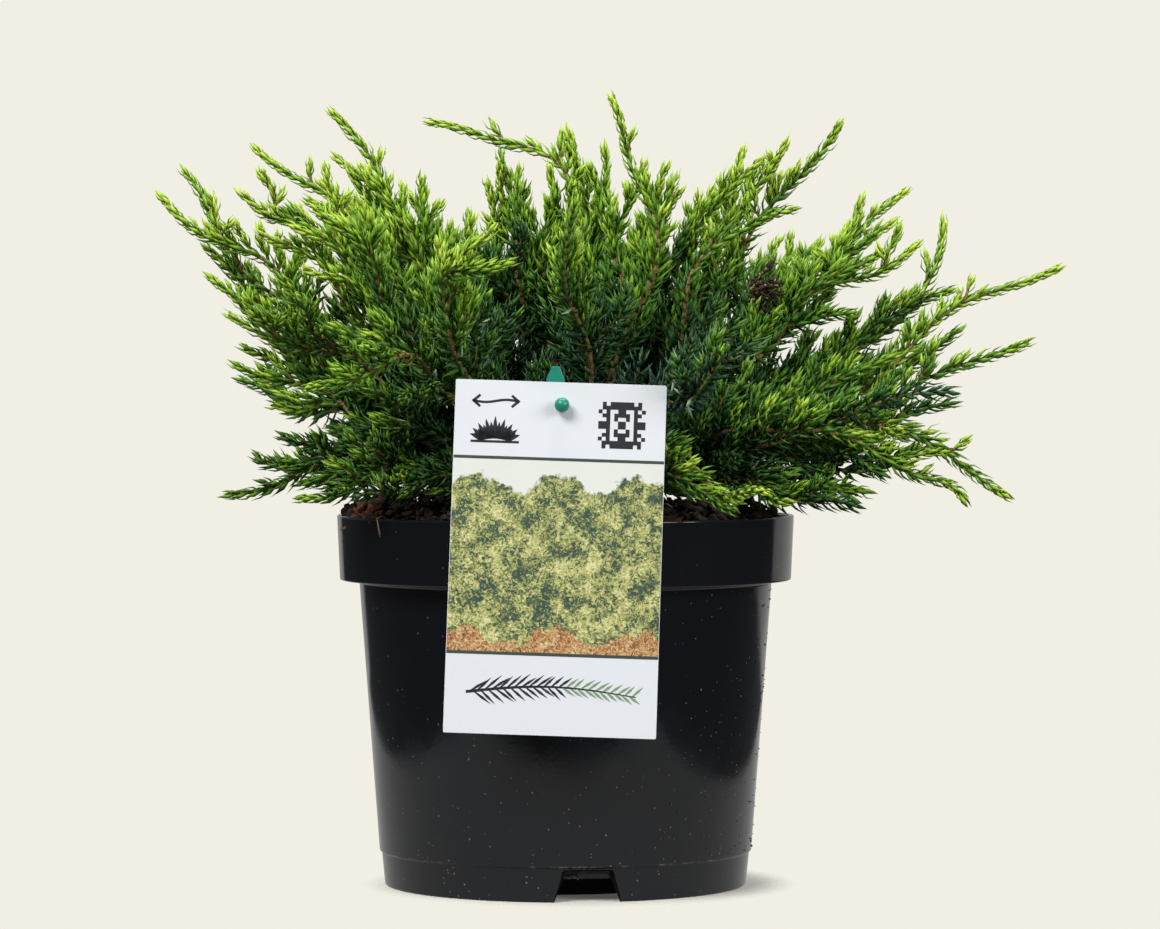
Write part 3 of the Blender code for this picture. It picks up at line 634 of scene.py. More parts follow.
def add_node(tree, kind, sockets=None, stops=(), **setup):
    """The outputs of a new node: a socket takes a value or a link, and a ramp takes its stops."""
    node = tree.nodes.new(f"ShaderNode{kind}")
    for name, value in setup.items():
        setattr(node, name, value)
    for socket, value in (sockets or {}).items():
        if isinstance(value, bpy.types.NodeSocket):
            tree.links.new(value, node.inputs[socket])
        else:
            node.inputs[socket].default_value = value
    for i, (position, colour) in enumerate(stops):
        element = node.color_ramp.elements[i] if i < 2 else node.color_ramp.elements.new(position)
        element.position = position
        element.color = (*colour, 1.0)
    return node.outputs


def new_material(name, colour, roughness, **sockets):
    """A Principled material with its node tree and shader, and its object coordinates."""
    material = bpy.data.materials.new(name)
    material.use_nodes = True
    tree = material.node_tree
    shader = tree.nodes["Principled BSDF"]
    shader.inputs["Base Color"].default_value = (*colour, 1.0)
    shader.inputs["Roughness"].default_value = roughness
    for socket, value in sockets.items():
        shader.inputs[socket.replace("_", " ")].default_value = value
    place = add_node(tree, "TexCoord")["Object"]
    return material, tree, shader, place


def roughen(tree, shader, place, scale, low, high):
    """Roughness that varies between two values with a noise of the given scale."""
    haze = add_node(tree, "TexNoise", {"Vector": place, "Scale": scale, "Detail": 3.0})
    span = {"Value": haze["Fac"], "From Min": 0.35, "From Max": 0.65, "To Min": low, "To Max": high}
    tree.links.new(add_node(tree, "MapRange", span)["Result"], shader.inputs["Roughness"])


def raise_bumps(tree, shader, height, distance):
    """Bump from a height, in metres."""
    bump = add_node(tree, "Bump", {"Height": height, "Distance": distance, "Strength": 1.0})
    tree.links.new(bump["Normal"], shader.inputs["Normal"])


def polypropylene_moulded():
    """Black polypropylene, injection moulded: satin gloss with faint orange peel and dried dust."""
    pot = settings("pot")
    material, tree, shader, place = new_material("polypropylene_black_moulded", pot.plastic, 0.3, IOR=1.49)
    roughen(tree, shader, place, per(14), 0.09, 0.15)
    peel = add_node(tree, "TexNoise", {"Vector": place, "Scale": per(1.6), "Detail": 2.0})
    raise_bumps(tree, shader, peel["Fac"], 0.000012)
    # Specks of dried soil 0.2 to 0.8 mm wide, thick near the foot and sparse above
    speck = add_node(tree, "TexVoronoi", {"Vector": place, "Scale": per(1.9)})
    chance = add_node(tree, "SeparateColor", {"Color": speck["Color"]})
    reach = add_node(tree, "Math", {0: chance["Green"], 1: 0.17, 2: 0.04}, operation="MULTIPLY_ADD")
    small = add_node(tree, "Math", {0: speck["Distance"], 1: reach["Value"]}, operation="LESS_THAN")
    height = add_node(tree, "SeparateXYZ", {"Vector": place})
    rise = {"Value": height["Z"], "From Max": POT_HEIGHT, "To Min": 0.6, "To Max": 0.97}
    sparse = add_node(tree, "MapRange", rise)
    picked = add_node(tree, "Math", {0: chance["Red"], 1: sparse["Result"]}, operation="GREATER_THAN")
    specks = add_node(tree, "Math", {0: small["Value"], 1: picked["Value"]}, operation="MULTIPLY")
    # A broken line of dust on the ledge of the foot
    ledge = add_node(tree, "Math", {0: height["Z"], 1: FOOT_LINE_HEIGHT, 2: 0.0004}, operation="COMPARE")
    patchy = add_node(tree, "TexNoise", {"Vector": place, "Scale": per(6), "Detail": 4.0, "Roughness": 0.7})
    gaps = {"Value": patchy["Fac"], "From Min": 0.5, "From Max": 0.66, "To Min": 0.0, "To Max": 0.9}
    broken = add_node(tree, "MapRange", gaps)
    line = add_node(tree, "Math", {0: ledge["Value"], 1: broken["Result"]}, operation="MULTIPLY")
    dusty = add_node(tree, "Math", {0: specks["Value"], 1: line["Value"]}, operation="MAXIMUM")
    thin = add_node(tree, "Math", {0: chance["Blue"], 1: 0.5, 2: 0.2}, operation="MULTIPLY_ADD")
    faded = add_node(tree, "Math", {0: dusty["Value"], 1: thin["Value"]}, operation="MULTIPLY")
    tints = {MIX_A: (*pot.plastic, 1.0), MIX_B: (*pot.dust, 1.0), MIX_FACTOR: faded["Value"]}
    mix = add_node(tree, "Mix", tints, data_type="RGBA")
    tree.links.new(mix[MIX_COLOUR], shader.inputs["Base Color"])
    return material


def mottled(name, dark, light, grain, relief, roughness, detail=6.0):
    """A matt natural material: two colours mottled by a noise, which also raises the bumps."""
    material, tree, shader, place = new_material(name, dark, roughness)
    fine = {"Vector": place, "Scale": per(grain), "Detail": detail, "Roughness": 0.65}
    grains = add_node(tree, "TexNoise", fine)
    ramp = add_node(tree, "ValToRGB", {"Fac": grains["Fac"]}, ((0.38, dark), (0.66, light)))
    tree.links.new(ramp["Color"], shader.inputs["Base Color"])
    raise_bumps(tree, shader, grains["Fac"], relief)
    return material


def bark_scaly(name, dark, light, flake, relief):
    """Juniper bark: thin flakes, long along the limb, pale where they lift."""
    material, tree, shader, place = new_material(name, dark, 0.85)
    bent = add_node(tree, "TexNoise", {"Vector": place, "Scale": per(flake * 2), "Detail": 4.0})
    flakes = add_node(tree, "TexVoronoi", {"Vector": place, "Scale": per(flake)})
    both = add_node(tree, "Math", {0: bent["Fac"], 1: flakes["Distance"]}, operation="MULTIPLY")
    ramp = add_node(tree, "ValToRGB", {"Fac": both["Value"]}, ((0.08, dark), (0.34, light)))
    tree.links.new(ramp["Color"], shader.inputs["Base Color"])
    raise_bumps(tree, shader, both["Value"], relief)
    return material


def needle_cuticle(name, colour, low, high):
    """Juniper needle with its waxy cuticle: one plain tint a spray, satin with fine streaks."""
    material, tree, shader, place = new_material(
        f"juniper_needle_{name}", colour, low, IOR=1.42, Specular_IOR_Level=0.38
    )
    roughen(tree, shader, place, per(0.8), low, high)
    streak = add_node(tree, "TexNoise", {"Vector": place, "Scale": per(0.5), "Detail": 1.0})
    raise_bumps(tree, shader, streak["Fac"], 0.00004)
    return material


def smooth_plastic(name, colour, low, high, wave):
    """A smooth plastic whose gloss varies a little and whose surface undulates faintly."""
    material, tree, shader, place = new_material(name, colour, low, IOR=1.5)
    roughen(tree, shader, place, per(wave), low, high)
    waves = add_node(tree, "TexNoise", {"Vector": place, "Scale": per(wave), "Detail": 2.0})
    raise_bumps(tree, shader, waves["Fac"], 0.00002)
    return material


def needle_palette():
    """The tints of the needles, from painted deep shade to fresh tips in painted light, then the waxy band
    and the dead tint.
    """
    plant = settings("plant")
    anchors = np.array([plant.shade, plant.deep, plant.middle, plant.young, plant.fresh])
    places = np.linspace(0, len(anchors) - 1, TINT_STEPS)
    steps = np.arange(len(anchors))
    tints = np.stack([np.interp(places, steps, anchors[:, i]) for i in range(3)], axis=1)
    palette = [needle_cuticle(f"tint_{i}", tuple(tint), 0.36, 0.52) for i, tint in enumerate(tints)]
    palette.append(needle_cuticle("waxy_band", plant.band, 0.5, 0.65))
    palette.append(needle_cuticle("dead", plant.dead, 0.75, 0.9))
    return palette


def add_piece(name, mesh, slot, *nodes, matrix=None):
    """A piece that rides on the body and stands for the nodes. The slot is not used."""
    piece = bpy.data.objects.new(name, mesh)
    bpy.context.scene.collection.objects.link(piece)
    if matrix is not None:
        piece.matrix_world = matrix
    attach(piece, BODY)
    if nodes:
        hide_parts(*nodes)


def mesh_from_arrays(name, vertices, groups, materials, smooth=True):
    """A mesh of vertex rows and groups of like faces, each face with its material's number."""
    mesh = bpy.data.meshes.new(name)
    mesh.vertices.add(len(vertices))
    mesh.vertices.foreach_set("co", np.asarray(vertices, np.float32).ravel())
    corners = np.concatenate([faces.ravel() for faces, _ in groups])
    totals = np.concatenate([np.full(len(faces), faces.shape[1]) for faces, _ in groups])
    mesh.loops.add(len(corners))
    mesh.loops.foreach_set("vertex_index", corners.astype(np.int32))
    mesh.polygons.add(len(totals))
    starts = np.concatenate([[0], np.cumsum(totals)[:-1]])
    mesh.polygons.foreach_set("loop_start", starts.astype(np.int32))
    numbers = np.concatenate([numbers for _, numbers in groups])
    mesh.polygons.foreach_set("material_index", numbers.astype(np.int32))
    mesh.polygons.foreach_set("use_smooth", np.full(len(totals), smooth))
    for material in materials:
        mesh.materials.append(material)
    mesh.update(calc_edges=True)
    return mesh


class Batch:
    """Vertices and faces gathered from many small shapes, to be joined as one mesh."""

    def __init__(self):
        self.vertices = []
        self.faces = {}
        self.count = 0

    def add(self, vertices, faces, numbers=0):
        """Add a shape: one array of like faces or several, with their materials' numbers."""
        groups = faces if isinstance(faces, tuple) else (faces,)
        if not isinstance(numbers, tuple):
            numbers = (numbers,) * len(groups)
        for group, number in zip(groups, numbers):
            numbered = (group + self.count, np.full(len(group), number))
            self.faces.setdefault(group.shape[1], []).append(numbered)
        self.vertices.append(vertices)
        self.count += len(vertices)
        return self

    def mesh(self, name, materials, smooth=True):
        """The mesh of all that was added."""
        groups = []
        for parts in self.faces.values():
            faces = np.concatenate([part for part, _ in parts])
            groups.append((faces, np.concatenate([numbers for _, numbers in parts])))
        return mesh_from_arrays(name, np.concatenate(self.vertices), groups, materials, smooth)


def unit(rows):
    """Rows of vectors, each one unit long."""
    return rows / np.maximum(np.linalg.norm(rows, axis=-1, keepdims=True), 1e-12)


def travel(line):
    """Distance travelled along a line at each of its points."""
    steps = np.linalg.norm(np.diff(line, axis=0), axis=1)
    return np.concatenate([[0.0], np.cumsum(steps)])


def at(line, travelled, stations):
    """Points of a line at distances along it."""
    return np.stack([np.interp(stations, travelled, line[:, i]) for i in range(3)], axis=1)


def headings_along(line):
    """Direction of a line at each of its points."""
    return unit(np.gradient(line, axis=0))


def square_frames(along):
    """Two directions square to each heading, and to each other."""
    lead = along[0]
    reference = np.array((0.0, 0.0, 1.0)) if abs(lead[2]) < 0.9 else np.array((1.0, 0.0, 0.0))
    across = unit(reference - (along @ reference)[:, None] * along)
    return across, np.cross(along, across)


def ring_faces(rings, sides):
    """Faces between rings of vertices, and the fans that close both ends on two last vertices."""
    corner = np.arange(sides)
    after = (corner + 1) % sides
    low = (np.arange(rings - 1) * sides)[:, None]
    quads = np.stack([low + corner, low + after, low + sides + after, low + sides + corner], axis=-1)
    last = (rings - 1) * sides
    foot = rings * sides
    ends = np.concatenate([
        np.stack([after, corner, np.full(sides, foot)], axis=1),
        np.stack([last + corner, last + after, np.full(sides, foot + 1)], axis=1),
    ])
    return quads.reshape(-1, 4), ends


def tube(line, radii, sides):
    """Vertices and faces of a tube along a line, closed at both ends."""
    across, beside = square_frames(headings_along(line))
    turns = np.linspace(0, math.tau, sides, endpoint=False)
    spokes = np.cos(turns)[None, :, None] * across[:, None] + np.sin(turns)[None, :, None] * beside[:, None]
    rings = line[:, None] + spokes * np.asarray(radii).reshape(len(line), -1, 1)
    return np.concatenate([rings.reshape(-1, 3), line[:1], line[-1:]]), ring_faces(len(line), sides)


def take_mesh(source):
    """The object's final mesh in place, after which the object is removed."""
    bpy.context.view_layer.update()
    graph = bpy.context.evaluated_depsgraph_get()
    mesh = bpy.data.meshes.new_from_object(source.evaluated_get(graph))
    mesh.transform(source.matrix_world)
    bpy.data.objects.remove(source, do_unlink=True)
    return mesh


def temporary(name, data):
    """An object for a step of the making."""
    made = bpy.data.objects.new(name, data)
    bpy.context.scene.collection.objects.link(made)
    return made


def rounded(corners, steps=4):
    """An outline whose corners are rounded: each one is (x, y, radius)."""
    points = []
    for i, (x, y, radius) in enumerate(corners):
        here = Vector((x, y))
        before = Vector(corners[i - 1][:2]) - here
        after = Vector(corners[(i + 1) % len(corners)][:2]) - here
        if radius == 0 or before.length == 0 or after.length == 0:
            points.append((x, y))
            continue
        half = before.angle(after) / 2
        reach = min(radius / math.tan(half), 0.45 * before.length, 0.45 * after.length)
        first = here + before.normalized() * reach
        last = here + after.normalized() * reach
        for step in range(steps + 1):
            t = step / steps
            point = (1 - t) ** 2 * first + 2 * t * (1 - t) * here + t * t * last
            points.append((point.x, point.y))
    return points


def held(profile, reach, least):
    """A profile with further points beside the ends of its long straight steps, which keep them flat."""
    points = [profile[0]]
    for before, after in zip(profile, profile[1:]):
        length = math.dist(before, after)
        if length > least:
            share = reach / length
            for part in (share, 1 - share):
                points.append(tuple(a + (b - a) * part for a, b in zip(before, after)))
        points.append(after)
    return points


def turned(name, profile, steps):
    """A profile of (radius, height) points turned about Z with a Screw modifier."""
    mesh = bpy.data.meshes.new(name)
    edges = [(i, i + 1) for i in range(len(profile) - 1)]
    mesh.from_pydata([(radius, 0.0, height) for radius, height in profile], edges, [])
    piece = temporary(name, mesh)
    screw = piece.modifiers.new("turn", "SCREW")
    screw.steps = steps
    screw.render_steps = steps
    screw.use_merge_vertices = True
    screw.merge_threshold = 0.00001
    screw.use_smooth_shade = True
    return piece


def plate(name, outlines, thickness, bevel=0.0):
    """A flat outline, with holes where further outlines lie in it, as a plate about Z = 0."""
    curve = bpy.data.curves.new(name, "CURVE")
    curve.dimensions = "2D"
    curve.fill_mode = "BOTH"
    curve.extrude = thickness / 2 - bevel
    curve.bevel_depth = bevel
    curve.bevel_resolution = 1
    for outline in outlines:
        spline = curve.splines.new("POLY")
        spline.points.add(len(outline) - 1)
        for point, (x, y) in zip(spline.points, outline):
            point.co = (x, y, 0.0, 1.0)
        spline.use_cyclic_u = True
    return temporary(name, curve)


def combine(body, tool, operation):
    """Cut a tool from a body, or join it to the body, with a Boolean modifier."""
    modifier = body.modifiers.new(operation.lower(), "BOOLEAN")
    modifier.operation = operation
    modifier.object = tool


def finished(mesh, material, sharp=None):
    """The mesh in one material: smooth but for edges over the sharp angle, or else flat."""
    mesh.materials.clear()
    mesh.materials.append(material)
    if sharp is None:
        mesh.shade_flat()
    else:
        mesh.shade_smooth()
        mesh.set_sharp_from_angle(angle=sharp)
    return mesh


def mend(mesh, operation, elements, **options):
    """Run one operation on all of a mesh's vertices or faces."""
    shape = bmesh.new()
    shape.from_mesh(mesh)
    operation(shape, **{elements: getattr(shape, elements)}, **options)
    shape.to_mesh(mesh)
    shape.free()
    return mesh


def weld(mesh):
    """Join the mesh's doubled vertices."""
    return mend(mesh, bmesh.ops.remove_doubles, "verts", dist=WELD_DISTANCE)


def inner_radius(height):
    """Inner radius of the pot's body wall at a height above the foot line."""
    share = (height - FOOT_LINE_HEIGHT) / (SHOULDER_HEIGHT - FOOT_LINE_HEIGHT)
    return FOOT_LINE_RADIUS + share * (SHOULDER_RADIUS - FOOT_LINE_RADIUS) - WALL


def pot_corners(edge):
    """Corners of the pot's wall, down the outer side and up the inner side, with their radii."""
    channel_top = CHANNEL_HEIGHT + WALL
    lip = WALL / 2
    return [
        (RIM_RADIUS, POT_HEIGHT, lip),
        (BAND_FOOT_RADIUS, BAND_FOOT_HEIGHT, edge),
        (SHOULDER_RADIUS, SHOULDER_HEIGHT, edge),
        (FOOT_LINE_RADIUS, FOOT_LINE_HEIGHT, edge / 2),
        (FOOT_LINE_RADIUS - FOOT_STEP, FOOT_LINE_HEIGHT - edge, edge / 2),
        (FOOT_RADIUS, 0.0, edge),
        (FOOT_RADIUS - WALL, 0.0, edge / 2),
        (FOOT_RADIUS - WALL, CHANNEL_HEIGHT, edge),
        (HUB_RADIUS + HUB_SLOPE, CHANNEL_HEIGHT, edge),
        (HUB_RADIUS, 0.0, edge),
        (0.0, 0.0, 0.0),
        (0.0, WALL, 0.0),
        (HUB_RADIUS - WALL, WALL, edge),
        (HUB_RADIUS + HUB_SLOPE - WALL, channel_top, edge),
        (FOOT_RADIUS - WALL / 2, channel_top, edge),
        (inner_radius(FOOT_LINE_HEIGHT), FOOT_LINE_HEIGHT + edge, edge),
        (inner_radius(SHOULDER_HEIGHT), SHOULDER_HEIGHT, edge),
        (SHOULDER_RADIUS - WALL, BAND_FOOT_HEIGHT + WALL, edge),
        (BAND_FOOT_RADIUS - WALL, BAND_FOOT_HEIGHT + WALL + edge, edge),
        (RIM_RADIUS - WALL, POT_HEIGHT, lip),
    ]


def lofted(name, outlines):
    """A solid through outlines of (x, y) points, each at its own depth."""
    count = len(outlines[0][1])
    vertices = [(x, y, depth) for depth, outline in outlines for x, y in outline]
    quads, _ = ring_faces(len(outlines), count)
    last = range(len(vertices) - count, len(vertices))
    faces = quads.tolist() + [list(reversed(range(count))), list(last)]
    mesh = bpy.data.meshes.new(name)
    mesh.from_pydata(vertices, [], faces)
    mesh.update()
    return temporary(name, mesh)


def notch_outline(grow):
    """Outline of a drain notch: a trapezoid with rounded upper corners, grown all round."""
    below = 0.001
    slope = (NOTCH_FOOT_WIDTH - NOTCH_TOP_WIDTH) / 2 / NOTCH_HEIGHT
    low = NOTCH_FOOT_WIDTH / 2 + slope * below + grow
    high = NOTCH_TOP_WIDTH / 2 + grow
    return rounded([
        (-low, -below, 0.0),
        (low, -below, 0.0),
        (high, NOTCH_HEIGHT + grow * 0.6, NOTCH_CORNER),
        (-high, NOTCH_HEIGHT + grow * 0.6, NOTCH_CORNER),
    ])


def notch_cutter(heading):
    """A prism that cuts one drain notch, wider where it meets the pot's outer face."""
    inner = FOOT_RADIUS - NOTCH_DEPTH / 2
    middle = FOOT_RADIUS - WALL * 1.05
    outer = FOOT_RADIUS + NOTCH_DEPTH / 2
    depths = ((inner, 0.0), (middle, 0.0), (outer, NOTCH_CHAMFER * (outer - middle) / WALL))
    cutter = lofted(f"notch_{heading}", [(depth, notch_outline(grow)) for depth, grow in depths])
    cutter.matrix_world = Matrix.Rotation(math.radians(heading) + QUARTER, 4, "Z") @ UPRIGHT
    made = mend(take_mesh(cutter), bmesh.ops.recalc_face_normals, "faces")
    return temporary(f"notch_cutter_{heading}", made)


def polar(reach, angle, height):
    """The point at a reach from the axis, an angle in radians and a height."""
    return reach * math.cos(angle), reach * math.sin(angle), height


def soil_height(radius):
    """Height of the mounded soil at a distance from the pot's axis."""
    edge = RIM_RADIUS - WALL - GAP
    return SOIL_TOP_HEIGHT - (SOIL_TOP_HEIGHT - SOIL_EDGE_HEIGHT) * (radius / edge) ** 2


def soil_lump(x, y, size):
    """How far the soil stands above its even mound at a place."""
    coarse = noise.fractal(Vector((x, y, 0.0)) * 110, 0.8, 2.0, 4)
    ridged = abs(noise.noise(Vector((x, y, 0.3)) * 420))
    return size * (0.75 * coarse + 0.5 * ridged - 0.1)


def soil_surface(x, y, radius, edge, size):
    """Height of the lumpy soil at a place and its radius, calmer towards the edge."""
    calm = min(1.0, 4 * (1 - radius / edge) + 0.25)
    return soil_height(radius) + calm * soil_lump(x, y, size)


def soil_mesh(size):
    """The soil: a lumpy mound over the root ball, which has the shape of the pot's inside."""
    gap = 1.5 * GAP
    edge = RIM_RADIUS - WALL - gap
    turns = np.linspace(0, math.tau, SOIL_SECTORS, endpoint=False)
    rings = []
    for ring in range(1, SOIL_MOUND_RINGS + 1):
        radius = edge * ring / SOIL_MOUND_RINGS
        row = []
        for turn in turns:
            x, y = radius * math.cos(turn), radius * math.sin(turn)
            row.append((x, y, soil_surface(x, y, radius, edge, size)))
        rings.append(row)
    walls = [corner for corner in pot_corners(2 * GAP) if corner[2]][-7:]
    for radius, height, _ in reversed(walls[:-1]):
        clear = radius - gap
        low = min(height + gap, SOIL_EDGE_HEIGHT - gap)
        rings.append([polar(clear, turn, low) for turn in turns])
    vertices = np.array(rings).reshape(-1, 3)
    top = np.array([[0.0, 0.0, soil_height(0) + soil_lump(0, 0, size)]])
    bottom = np.array([[0.0, 0.0, vertices[-1][2]]])
    # The rings run down and not up, so their faces are turned over
    quads, ends = ring_faces(len(rings), SOIL_SECTORS)
    return np.concatenate([vertices, top, bottom]), (quads[:, [0, 3, 2, 1]], ends[:, [1, 0, 2]])


def crumb_template():
    """Vertices and faces of a low ball, from which crumbs and chips are shaped."""
    shape = bmesh.new()
    bmesh.ops.create_icosphere(shape, subdivisions=1, radius=1.0)
    vertices = np.array([tuple(vertex.co) for vertex in shape.verts])
    faces = np.array([[vertex.index for vertex in face.verts] for face in shape.faces])
    shape.free()
    return vertices, faces


def scatter(batch, rng, count, sizes, stretch, number, spots=None, spread=0.0, heap=0.0):
    """Crumbs or chips that lie on the soil, over all of it or heaped about some spots."""
    template, faces = crumb_template()
    edge = RIM_RADIUS - WALL - CRUMB_CLEARANCE
    lump = settings("pot").lump
    for _ in range(count):
        radius = edge * math.sqrt(rng.uniform(0.004, 1.0))
        turn = rng.uniform(0, math.tau)
        x, y = radius * math.cos(turn), radius * math.sin(turn)
        if spots:
            spot = spots[rng.integers(len(spots))]
            x, y = spot[0] + rng.normal(0, spread), spot[1] + rng.normal(0, spread)
            radius = math.hypot(x, y)
            if radius > edge:
                x, y, radius = x * edge / radius, y * edge / radius, edge
        size = math.exp(rng.uniform(math.log(sizes[0]), math.log(sizes[1]))) / 2
        scale = np.array(stretch) * rng.uniform(0.7, 1.2, 3) * size
        jagged = template * (1 + rng.uniform(-0.28, 0.28, (len(template), 1)))
        spin = Quaternion((0, 0, 1), rng.uniform(0, math.tau)) @ Quaternion(
            (rng.normal(), rng.normal(), 0.2), rng.normal(0, 0.35)
        )
        turned_points = (jagged * scale) @ np.array(spin.to_matrix()).T
        z = soil_surface(x, y, radius, edge, lump) + 0.3 * scale[2]
        if heap:
            apart = math.hypot(x - spot[0], y - spot[1]) / spread
            z += heap * rng.uniform(0, 1) * math.exp(-apart * apart / 3)
        batch.add(turned_points + np.array((x, y, z)), faces, number)


def wall_specks(batch, rng, count, number):
    """Dried crumbs that cling to the pot's body, most of them on its right."""
    template, faces = crumb_template()
    for _ in range(count):
        rise = rng.uniform(0, 1) ** 1.5 * (SHOULDER_HEIGHT - FOOT_LINE_HEIGHT - 0.002)
        height = FOOT_LINE_HEIGHT + 0.001 + rise
        turn = math.radians(rng.normal(SPECKS_HEADING, SPECKS_SPREAD))
        radius = inner_radius(height) + WALL + 0.0001
        size = rng.uniform(0.00014, 0.00042)
        centre = np.array(polar(radius, turn, height))
        batch.add(template * size * rng.uniform(0.6, 1.3, (len(template), 1)) + centre, faces, number)


def roots_in_notch(batch, rng, number):
    """Root ends that show at the top of the front drain notch."""
    for i in range(7):
        turn = math.radians(NOTCH_HEADINGS[0] - 6.2 + 0.55 * i)
        drop = rng.uniform(0.0001, 0.0004)
        points = []
        for step in range(6):
            reach = FOOT_RADIUS - 0.0052 + 0.0009 * step
            sway = turn + rng.normal(0, 0.005)
            points.append(polar(reach, sway, NOTCH_HEIGHT - 0.0006 - drop * step))
        batch.add(*tube(np.array(points), np.linspace(0.0004, 0.0002, 6), 5), number)


def root_fibres(batch, rng, count, number):
    """Fine roots that lie loosely on the soil near the rim."""
    for _ in range(count):
        turn = rng.uniform(0, math.tau)
        radius = rng.uniform(0.045, 0.08)
        heading = rng.uniform(0, math.tau)
        length = rng.uniform(0.008, 0.024)
        points = []
        x, y = radius * math.cos(turn), radius * math.sin(turn)
        for step in range(9):
            away = math.hypot(x, y)
            if away > RIM_RADIUS - WALL - 0.001:
                x, y = x * 0.97, y * 0.97
                away = math.hypot(x, y)
            points.append((x, y, soil_height(away) + 0.0016 + 0.0008 * math.sin(step * 1.7 + turn)))
            heading += rng.normal(0, 0.35)
            x += length / 8 * math.cos(heading)
            y += length / 8 * math.sin(heading)
        radii = np.linspace(0.00028, 0.00012, 9)
        batch.add(*tube(np.array(points), radii, 5), number)


def fibre_over_rim(batch, number):
    """A pale root that lies over the rim and down the band."""
    angle = math.radians(216.6)
    away = RIM_RADIUS + 0.0003
    points = []
    for reach, height, slip in (
        (away - 0.006, POT_HEIGHT - 0.0004, 0.0),
        (away - 0.0022, POT_HEIGHT + 0.0007, 0.004),
        (away - 0.0002, POT_HEIGHT + 0.0001, 0.008),
        (away - 0.0002, POT_HEIGHT - 0.0022, 0.014),
        (away - 0.0003, POT_HEIGHT - 0.0046, 0.022),
        (away - 0.0003, POT_HEIGHT - 0.0066, 0.028),
    ):
        points.append(polar(reach, angle + slip, height))
    batch.add(*tube(np.array(points), np.array((2, 3, 3, 3, 4, 3)) * 0.0001, 6), number)


def point_at(heading, reach, height):
    """The point at a heading, a reach from the axis and a height."""
    return Vector(polar(reach, math.radians(heading), height))


def stem_radius(height):
    """Radius of the stem at a height above its foot."""
    share = height / STEM_HEIGHT
    flare = (STEM_FLARE_RADIUS - STEM_RADIUS) * max(0.0, 1 - 4 * share) ** 2
    return STEM_RADIUS + (STEM_TOP_RADIUS - STEM_RADIUS) * share + flare


def bough_radius(share):
    """Radius of a bough at a share of its length."""
    return BOUGH_FOOT_RADIUS + (BOUGH_TIP_RADIUS - BOUGH_FOOT_RADIUS) * share


Arc = namedtuple("Arc", "start bend end")


def arc_points(arc, count, stop=1.0):
    """Points along an arc that leaves its start towards its bend and arrives at its end."""
    points = []
    for i in range(count):
        t = stop * i / (count - 1)
        points.append((1 - t) ** 2 * arc.start + 2 * t * (1 - t) * arc.bend + t * t * arc.end)
    return points


def line_length(line):
    """Length along a line of points."""
    return sum((after - before).length for before, after in zip(line, line[1:]))


def foot_headings():
    """Heading at which each bough leaves the stem, spread evenly round its tier."""
    headings = {}
    for tier in range(len(BOUGH_TIERS)):
        names = [name for name, bough in BOUGHS.items() if bough.tier == tier]
        names.sort(key=lambda name: BOUGHS[name].heading)
        even = [360 * i / len(names) for i in range(len(names))]
        offset = sum(BOUGHS[name].heading - turn for name, turn in zip(names, even)) / len(names)
        for name, turn in zip(names, even):
            headings[name] = turn + offset
    return headings


def bough_arc(bough, foot_heading):
    """Centre line of a bough, from beside the stem to its tip."""
    tip = point_at(bough.heading, bough.reach, bough.height)
    elevation = math.atan2(bough.height - STEM_FOOT_HEIGHT, bough.reach)
    leaving = BOUGH_LEAVING_SHARE * elevation
    foot = BOUGH_TIERS[bough.tier]
    clear = stem_radius(foot) + GAP + BOUGH_FOOT_RADIUS * math.sin(leaving)
    start = point_at(foot_heading, clear, STEM_FOOT_HEIGHT + foot)
    out = point_at(foot_heading, math.cos(leaving), math.sin(leaving))
    return Arc(start, start + out * (tip - start).length * BOUGH_BEND_SHARE, tip)


def leader_arc(leader, bough_line):
    """Centre line of a leader, from beside its bough or beyond the bough's tip."""
    tip = point_at(leader.heading, leader.reach, leader.height)
    along = (bough_line[-1] - bough_line[-2]).normalized()
    if leader.back == 0:
        start = bough_line[-1] + along * 1.5 * GAP
        return Arc(start, start + along * (tip - start).length * TIP_LEADER_BEND, tip)
    station = bough_line[-1] - along * leader.back
    share = 1 - leader.back / line_length(bough_line)
    aside = tip - station
    aside = (aside - aside.project(along)).normalized()
    start = station + aside * (bough_radius(share) + GAP + TWIG_RADIUS)
    chord = tip - start
    bend = start + aside * chord.length * SIDE_LEADER_BEND + chord * SIDE_LEADER_RUN
    bend.z = max(bend.z, start.z + LEADER_LEAST_RISE)
    return Arc(start, bend, tip)


def leader_count(arc):
    """How many points the source gives a leader."""
    return max(6, round((arc.end - arc.start).length / WHORL_PITCH) + 1)


def rows(points):
    """Points as the rows of an array."""
    return np.array([tuple(point) for point in points])


def pot_clearance(points):
    """How far each point stays above the soil and clear of the pot's rim."""
    out = np.hypot(points[:, 0], points[:, 1])
    over_pot = points[:, 2] - np.maximum(POT_HEIGHT, soil_height(out))
    return np.maximum(over_pot, out - RIM_RADIUS)


def label_clearance(points):
    """How far each point stays from the label's card, stake and the air before it."""
    side = np.abs(points[:, 0] - CARD_CENTRE.x) - CARD_WIDTH / 2
    over = points[:, 2] - STAKE_TOP_HEIGHT
    behind = points[:, 1] - STAKE_CENTRE_Y - STAKE_THICKNESS
    return np.maximum(np.maximum(side, over), behind) - CARD_CLEARANCE


